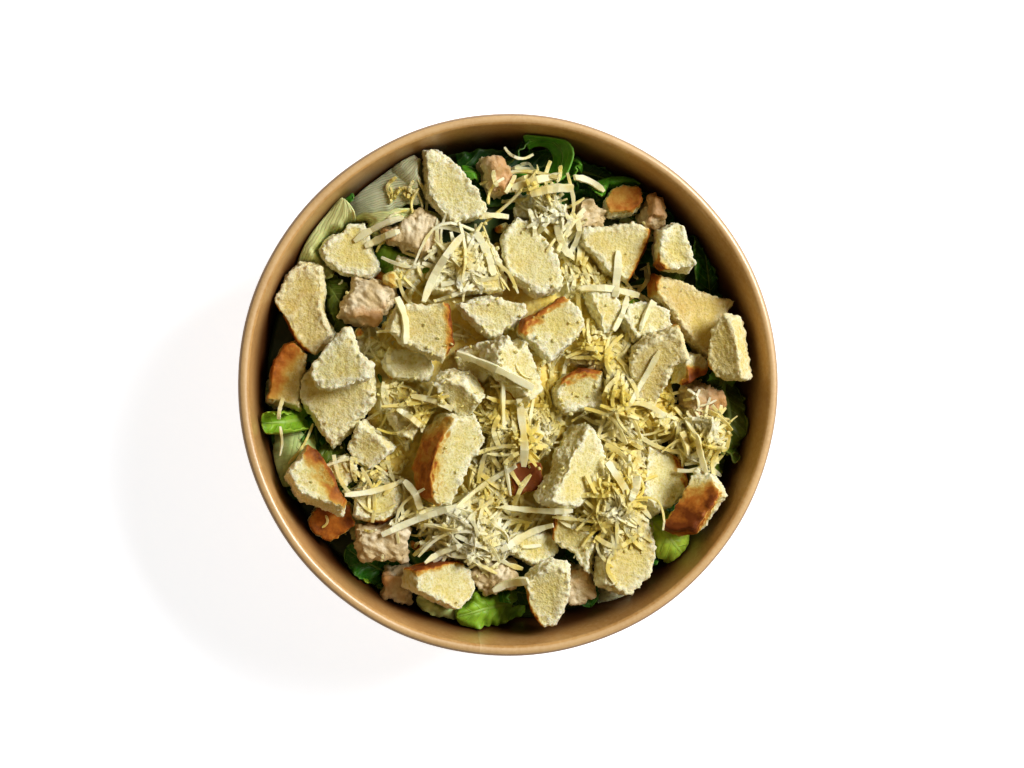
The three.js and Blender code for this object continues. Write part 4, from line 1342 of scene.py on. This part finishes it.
def mat_mesh(landing):
    """The low mats of clumped cheese that the shreds lie on."""
    side = np.linspace(-1, 1, MAT_ROWS)
    along, across = side[:, None], side[None, :]
    across, along = across * np.sqrt(1 - along ** 2 / 2), along * np.sqrt(1 - across ** 2 / 2)
    swell = 1 - np.hypot(across, along) ** 3
    points, faces = [], []
    for number, mat in enumerate(MATS):
        grid = np.stack([mat.x + across * mat.wide, mat.y + along * mat.deep, 0 * across], axis=-1)
        floor = landing.gaps.top_at(grid.reshape(-1, 3)).reshape(swell.shape)
        for _ in range(MAT_SOFTNESS):
            floor = mean_beside(floor)
        grid[..., 2] = floor + mat.height * swell - MAT_THICKNESS / 2
        skin, sheet_faces = sheet_of(grid, MAT_THICKNESS)
        points.append(skin)
        faces.append(sheet_faces + number * len(skin))
    return mesh_of("cheese_mats", np.concatenate(points), np.concatenate(faces).tolist())


def shred_between(ends, bend, width, landing, settings, draw, above=True):
    """A shred's path, its widths and its twist, laid on what is there already."""
    start, end = np.array(ends[:2]), np.array(ends[2:])
    way = end - start
    side = np.array([-way[1], way[0]]) / (np.linalg.norm(way) + 1e-9)
    part = np.linspace(0, 1, SHRED_STEPS)
    bow = side * bend * np.sin(math.pi * part)[:, None]
    line = start + way * part[:, None] + bow
    thickness = width * settings.flatness
    points = np.column_stack([line, landing.rest(line, thickness, above)])
    torn = draw.uniform(0.5, 1, 2)
    taper = np.minimum(1, torn[0] + part * 5) * np.minimum(1, torn[1] + (1 - part) * 5)
    widths = width * taper * (1 + draw.normal(0, 0.1, SHRED_STEPS))
    twist = draw.normal(0, 0.35) + draw.normal(0, 0.5) * (part - 0.5)
    covered = np.concatenate([points + [*(side * width * edge), 0] for edge in (-0.35, 0, 0.35)])
    covered[:, 2] += thickness / 2
    landing.cover(covered, above)
    return points, widths, twist


def loose_shreds(bunches, settings, landing, draw):
    """Shreds that fall at random round the middle of each bunch."""
    shreds = []
    usual = settings.shred_length / MM / LENGTH_SHAPE
    for bunch in bunches:
        for _ in range(bunch.shreds):
            middle = np.array([bunch.x, bunch.y]) + draw.normal(0, 0.55, 2) * (bunch.wide, bunch.deep)
            length = draw.gamma(LENGTH_SHAPE, usual)
            length = bunch.size * float(np.clip(length, SHORTEST_SHRED, LONGEST_SHRED))
            way = draw.uniform(0, TURN)
            half = np.array([math.cos(way), math.sin(way)]) * length / 2
            start, end = middle - half, middle + half
            if max(np.hypot(*start), np.hypot(*end)) > inner_radius(TOP_OF_FOOD) - 4:
                continue
            line = np.linspace(start, end, SHRED_STEPS)
            above = landing.on_pieces(line)
            if landing.on_bare(line) or above and draw.random() > bunch.on_top:
                continue
            width = bunch.size * settings.shred_width / MM * draw.uniform(0.55, 1.3)
            bend = draw.normal(0, 0.16) * length
            shreds.append(shred_between((*start, *end), bend, width, landing, settings, draw, above))
    return shreds


def shred_recipe():
    """Flat strips along the curves, as wide as each curve's radius says."""
    recipe = Recipe("Grated cheese", {"Flatness": 0.5, "Material": None})
    inputs = {"Curve": recipe.input("Geometry")}
    upright = recipe.node("GeometryNodeSetCurveNormal", {"mode": "Z_UP"}, inputs)
    ring = recipe.node("GeometryNodeCurvePrimitiveQuadrilateral", None, {"Width": 1.0, "Height": 1.0})
    squash = recipe.node("ShaderNodeCombineXYZ", None, {0: 1.0, 1: recipe.input("Flatness"), 2: 1.0})
    profile = recipe.node("GeometryNodeTransform", None, {"Geometry": ring, "Scale": squash})
    radius = recipe.node("GeometryNodeInputRadius")
    inputs = {"Curve": upright, "Profile Curve": profile, "Fill Caps": True, "Scale": radius}
    strips = recipe.node("GeometryNodeCurveToMesh", None, inputs)
    inputs = {"Geometry": strips, "Shade Smooth": False}
    recipe.finish(recipe.node("GeometryNodeSetShadeSmooth", None, inputs))
    return recipe


def shred_curve(name, shreds):
    """One spline for each shred, whose width and twist are its radius and tilt."""
    curve = bpy.data.curves.new(name, "CURVE")
    curve.dimensions = "3D"
    for points, widths, twist in shreds:
        spline = curve.splines.new("POLY")
        spline.points.add(len(points) - 1)
        spline.points.foreach_set("co", np.column_stack([points * MM, np.ones(len(points))]).ravel())
        spline.points.foreach_set("radius", widths * MM)
        spline.points.foreach_set("tilt", twist)
    return shown(name, curve)


class CheeseSettings(PropertyGroup):
    fineness: a_length("Fineness", "Distance between points of the mats", 0.00054)
    wear: a_count("Wear", "How far the edges of the mats are rounded", 2, 1)
    shred_length: a_length("Length", "Usual length of a shred", 0.0105)
    shred_width: a_length("Width", "Width of a shred", 0.00115)
    flatness: FloatProperty(name="Flatness", description="Thickness of a shred for its width", default=0.5)
    seed: a_count("Seed", "Another seed drops the shreds elsewhere", 11)
    cheese: a_colour("Cheese", "Colour of the cheese", 250, 246, 212)
    # Thick cheese is partly painted shade: golden where the cheese lies low and thick.
    deep: a_colour("Thick cheese", "Colour where shreds lie thick", 240, 218, 120)
    grain: a_colour("Grain", "Colour of its paler grain", 250, 244, 204)


def cheese_finish(settings):
    finish = Finish(
        "Grated hard cheese", subsurface_weight=0.6, subsurface_scale=0.0008, subsurface_radius=(1, 0.9, 0.7),
        specular_ior_level=0.45)
    mix, step, noise = finish.mix, finish.step, finish.noise
    place = finish.place()
    clouds = noise(place, 120.0, 2.0)
    grain = noise(place, 1500.0, 3.0)
    # Golden in clouds and by the mark: partly the cheese's tint, partly painted shade low down between the
    # pieces.
    rich = finish.attribute("rich")
    colour = mix(step(clouds + rich * 0.35, 0.4, 0.85), settings.cheese, settings.deep)
    colour = mix(step(grain, 0.5, 0.75) * 0.25, colour, settings.grain)
    finish.set("Base Color", colour)
    finish.set("Roughness", 0.42 + grain * 0.2)
    finish.bump(grain, 0.00012)
    return finish.material


class SALAD_OT_cheese(Operator):
    """Drop the grated cheese over everything, in bunches and loose"""

    bl_idname = "salad.cheese"
    bl_label = "Grated cheese"

    def execute(self, context):
        settings = context.scene.salad_cheese
        draw = np.random.default_rng(settings.seed)
        material = cheese_finish(settings)
        mats = shown("cheese_mats", mat_mesh(Landing()))
        mats = roughened(mats, settings, torn_recipe(), material, **MAT_SKIN)
        # The mats low down get the most painted shade.
        write_values(mats.data, "rich", 0.8)
        hand_in(mats, "cheese_shred")
        recipe = shred_recipe()
        landing = Landing()
        heaps = [("cheese_between", [], LOOSE)]
        heaps += [(f"{node}_shreds", [node], [bunch]) for node, bunch in zip(nodes_named("cheese"), BUNCHES)]
        for name, nodes, bunches in heaps:
            curve = shred_curve(name, loose_shreds(bunches, settings, landing, draw))
            cheese = recipe.apply(curve, material, Flatness=settings.flatness)
            write_values(cheese.data, "rich", sum(bunch.rich for bunch in bunches) / len(bunches))
            hand_in(cheese, "cheese_shred", *nodes)
        shreds = [
            shred_between(ends, bend, draw.uniform(1.4, 2.1), landing, settings, draw)
            for *ends, bend in LONG_SHREDS]
        curve = shred_curve("cheese_long_shreds", shreds)
        hand_in(recipe.apply(curve, material, Flatness=settings.flatness), "cheese_shred")
        return {"FINISHED"}


# ---------------------------------------------------------------- crumbs


def crumb_recipe():
    """A small broken lump of bread on every point."""
    recipe = Recipe("Crumbs", {"Size": 0.0007, "Fineness": 2, "Toast": 0.0, "Seed": 3, "Material": None})
    given = recipe.input

    def drawn(least, most):
        inputs = {"Min": least, "Max": most, "Seed": given("Seed")}
        return recipe.node("FunctionNodeRandomValue", {"data_type": "FLOAT_VECTOR"}, inputs)

    turn = drawn((0.0, 0.0, 0.0), (TURN, TURN, TURN))
    inputs = {
        "Points": given("Geometry"),
        "Instance": recipe.node(
            "GeometryNodeMeshIcoSphere", None, {"Radius": given("Size"), "Subdivisions": given("Fineness")}),
        "Rotation": recipe.node("FunctionNodeEulerToRotation", None, {0: turn}),
        "Scale": drawn((0.4, 0.4, 0.4), (1.3, 1.3, 1.1)),
    }
    lumps = recipe.node("GeometryNodeInstanceOnPoints", None, inputs)
    real = recipe.node("GeometryNodeRealizeInstances", None, {"Geometry": lumps})
    place = recipe.node("GeometryNodeInputPosition")
    normal = recipe.node("GeometryNodeInputNormal")
    broken = (recipe.noise(place, 0.9 / given("Size"), 2.0) - 0.5) * given("Size") * 1.4
    skin = recipe.displaced(real, normal, broken)
    toasted = recipe.step(recipe.noise(place, 130.0, 1.0), 0.4, 0.65) * given("Toast")
    recipe.finish(recipe.store(skin, "toasted", toasted))
    return recipe


# Chunks lie this far from the middle at most, and are at most this wide from middle
# to side. The bits and crumbs lie closest together in the middle, and the wall keeps
# them in at the last height.
CHUNKS_WITHIN = 56
WIDEST_CHUNK = 4.2
BITS_SPREAD = 26
CRUMBS_SPREAD = 27
GAPS_AT = 50


class CrumbSettings(PropertyGroup):
    chunks: a_count("Chunks", "How many chunks fill the widest gaps", 22, 1)
    bits: a_count("Bits", "How many small torn bits lie in the gaps", 240, 1)
    bit_size: a_length("Bit size", "Half the width of a bit", 0.0021)
    crumbs: a_count("Crumbs", "How many crumbs lie about", 200, 1)
    size: a_length("Size", "Half the width of a crumb", 0.0006)
    seed: a_count("Seed", "Another seed drops the crumbs elsewhere", 21)


def widest_gaps(landing, count):
    """The middles and half widths of the widest places between the pieces."""
    side = np.arange(-Heights.HALF, Heights.HALF + 1) * Heights.CELL
    open_cells = ~landing.hidden & (np.hypot(side[:, None], side[None, :]) < CHUNKS_WITHIN)
    room = np.zeros(open_cells.shape)
    layer = open_cells
    while layer.any():
        room += layer * Heights.CELL
        rolled = [np.roll(layer, way, axis) for axis in (0, 1) for way in (1, -1)]
        layer = np.all([layer, *rolled], axis=0)
    for _ in range(count):
        across, along = np.unravel_index(room.argmax(), room.shape)
        half = min(room[across, along], WIDEST_CHUNK)
        yield side[across], side[along], half
        taken = np.hypot(side[:, None] - side[across], side[None, :] - side[along]) < 2 * half
        room[taken] = 0


def chunk_skin(landing, settings, draw):
    """Blocks with uneven corners, one in each of the widest gaps."""
    skin = bmesh.new()
    for x, y, half in widest_gaps(landing, settings.chunks):
        turn = Matrix.Rotation(draw.uniform(0, TURN), 4, "Z")
        turn = turn @ Matrix.Rotation(draw.normal(0, 0.35), 4, "X")
        size = Matrix.Diagonal((*(half * draw.uniform(0.75, 1.15, 2)), half * 0.65, 1))
        z = float(landing.gaps.top_at(np.array([[x, y]]))[0]) + half * 0.3
        place = Matrix.Scale(MM, 4) @ Matrix.Translation((x, y, z)) @ turn @ size
        block = bmesh.ops.create_cube(skin, size=2, matrix=place)
        for corner in block["verts"]:
            corner.co += Vector(draw.normal(0, 0.16 * half * MM, 3))
    mesh = bpy.data.meshes.new("bread_chunks")
    skin.to_mesh(mesh)
    skin.free()
    return mesh


def scatter(name, places, heights, lift, material, **values):
    """A lump of bread on every place, on top of what lies there."""
    points = np.column_stack([places, heights.top_at(places) + lift])
    lumps = shown(name, mesh_of(name, points, []))
    hand_in(crumb_recipe().apply(lumps, material, **values), "crouton_bread")


class SALAD_OT_bits(Operator):
    """Drop chunks and small torn bits of toast into the gaps between the pieces"""

    bl_idname = "salad.bits"
    bl_label = "Bits of toast"

    def execute(self, context):
        settings = context.scene.salad_crumbs
        bread = context.scene.salad_bread
        draw = np.random.default_rng(settings.seed + 1)
        material = bread_finish(bread)
        chunks = roughened(
            shown("bread_chunks", chunk_skin(Landing(), settings, draw)), bread, torn_recipe(), material,
            Crust_direction=tuple(toward(-60, 20)), Crust_reach=CHUNKS_WITHIN * MM, Crust_depth=0.04,
            Crust_level=0.6)
        write_values(chunks.data, "tone", 0.3)
        hand_in(chunks, "crouton_bread")
        landing = Landing()
        places = draw.normal(0, BITS_SPREAD, (settings.bits, 2))
        within = np.hypot(*places.T) < inner_radius(GAPS_AT) - 16
        places = places[~landing.hidden[landing.gaps.cells(places)] & within]
        scatter("bread_bits", places, landing.gaps, 0.5, material,
                Size=settings.bit_size, Fineness=2, Toast=0.9, Seed=settings.seed)
        return {"FINISHED"}


class SALAD_OT_crumbs(Operator):
    """Scatter bread crumbs over the top"""

    bl_idname = "salad.crumbs"
    bl_label = "Crumbs"

    def execute(self, context):
        settings = context.scene.salad_crumbs
        draw = np.random.default_rng(settings.seed)
        heights = heights_over("crouton_", "chicken_", "lettuce_", "cheese_")
        places = draw.normal(0, CRUMBS_SPREAD, (settings.crumbs, 2))
        places = places[np.hypot(*places.T) < inner_radius(GAPS_AT) - 8]
        scatter("bread_crumbs", places, heights, 0.1, bread_finish(context.scene.salad_bread),
                Size=settings.size, Fineness=1, Seed=settings.seed)
        return {"FINISHED"}


# ---------------------------------------------------------------- stage

# The camera looks down from this far above a point at the height of the rim, tilted
# a little, so that more of the wall shows on the right.
AIM = Vector((-0.6, 0.28, BOWL_HEIGHT)) * MM
CAMERA_DISTANCE = 425 * MM
CAMERA_TILT = 7
CAMERA_LENS = 54.4
LIGHT_BEARING = 30
LIGHT_RISE = 47
LIGHT_DISTANCE = 1.0
FLOOR_HALF = 3000


class StageSettings(PropertyGroup):
    key_power: FloatProperty(
        name="Main light", description="Power of the main light", default=8.5, unit="POWER")
    key_size: a_length("Main light size", "Side of the main light", 0.4)
    fill: FloatProperty(name="Fill", description="Strength of the even light all round", default=0.17)
    fill_colour: a_colour("Fill colour", "Colour of the even light", 255, 228, 168)
    floor: a_colour("Floor", "Colour of the floor", 238, 243, 252)
    floor_glow: FloatProperty(name="Floor glow", description="Light of the lit table itself", default=0.72)


def add_light(name, settings):
    """A square soft light that faces the middle of the table."""
    light = bpy.data.lights.new(name, "AREA")
    light.energy = settings.key_power
    light.size = settings.key_size
    lamp = shown(name, light)
    way = toward(LIGHT_BEARING, LIGHT_RISE)
    lamp.location = way * LIGHT_DISTANCE
    lamp.rotation_euler = way.to_track_quat("Z", "Y").to_euler()


class SALAD_OT_stage(Operator):
    """Lay the pale floor, hang the lights and set up the camera"""

    bl_idname = "salad.stage"
    bl_label = "Floor, lights and camera"

    def execute(self, context):
        settings = context.scene.salad_stage
        ground = Finish("Pale floor", roughness=0.9)
        ground.set("Base Color", tuple(settings.floor))
        ground.set("Emission Color", tuple(settings.floor))
        ground.set("Emission Strength", settings.floor_glow)
        signs = ((-1, -1), (1, -1), (1, 1), (-1, 1))
        corners = [(x * FLOOR_HALF, y * FLOOR_HALF, 0) for x, y in signs]
        floor = shown("floor", mesh_of("floor", corners, [[0, 1, 2, 3]], ground.material, smooth=False))
        add_light("Main light", settings)

        world = bpy.data.worlds.new("Even light")
        world.use_nodes = True
        background = next(node for node in world.node_tree.nodes if node.type == "BACKGROUND")
        background.inputs["Color"].default_value = tuple(settings.fill_colour)
        background.inputs["Strength"].default_value = settings.fill
        context.scene.world = world
        context.scene.view_settings.view_transform = "Standard"
        context.scene.view_settings.look = "Medium High Contrast"

        camera = shown("Camera", bpy.data.cameras.new("Camera"))
        camera.data.lens = CAMERA_LENS
        camera.data.clip_start = 0.01
        tilt = math.radians(CAMERA_TILT)
        back = Vector((-math.sin(tilt), 0, math.cos(tilt)))
        camera.location = AIM + back * CAMERA_DISTANCE
        camera.rotation_euler = (0, -tilt, 0)
        context.scene.camera = camera
        return {"FINISHED"}


# ---------------------------------------------------------------- add-on


class SALAD_PT_sidebar(Panel):
    """The steps of the salad and their settings"""

    bl_label = "Chicken caesar salad"
    bl_space_type = "VIEW_3D"
    bl_region_type = "UI"
    bl_category = "Salad"

    def draw(self, context):
        for group, step in STEPS:
            box = self.layout.box()
            settings = getattr(context.scene, group)
            for name in settings.__annotations__:
                box.prop(settings, name)
            box.operator(step.bl_idname)


GROUPS = {
    "salad_bowl": BowlSettings,
    "salad_bread": BreadSettings,
    "salad_chicken": ChickenSettings,
    "salad_lettuce": LettuceSettings,
    "salad_cheese": CheeseSettings,
    "salad_crumbs": CrumbSettings,
    "salad_stage": StageSettings,
}
STEPS = [
    ("salad_stage", SALAD_OT_stage),
    ("salad_bowl", SALAD_OT_bowl),
    ("salad_bread", SALAD_OT_croutons),
    ("salad_chicken", SALAD_OT_chicken),
    ("salad_lettuce", SALAD_OT_lettuce),
    ("salad_crumbs", SALAD_OT_bits),
    ("salad_cheese", SALAD_OT_cheese),
    ("salad_crumbs", SALAD_OT_crumbs),
]
CLASSES = [*GROUPS.values(), *(step for _, step in STEPS), SALAD_PT_sidebar]


def register():
    for item in CLASSES:
        bpy.utils.register_class(item)
    for name, group in GROUPS.items():
        setattr(bpy.types.Scene, name, PointerProperty(type=group))


def unregister():
    for name in GROUPS:
        delattr(bpy.types.Scene, name)
    for item in reversed(CLASSES):
        bpy.utils.unregister_class(item)


def main():
    register()
    bpy.ops.salad.stage()
    bpy.ops.salad.bowl()
    bpy.ops.salad.croutons()
    bpy.ops.salad.chicken()
    bpy.ops.salad.lettuce()
    bpy.ops.salad.bits()
    bpy.ops.salad.cheese()
    bpy.ops.salad.crumbs()


if __name__ == "__main__":
    main()
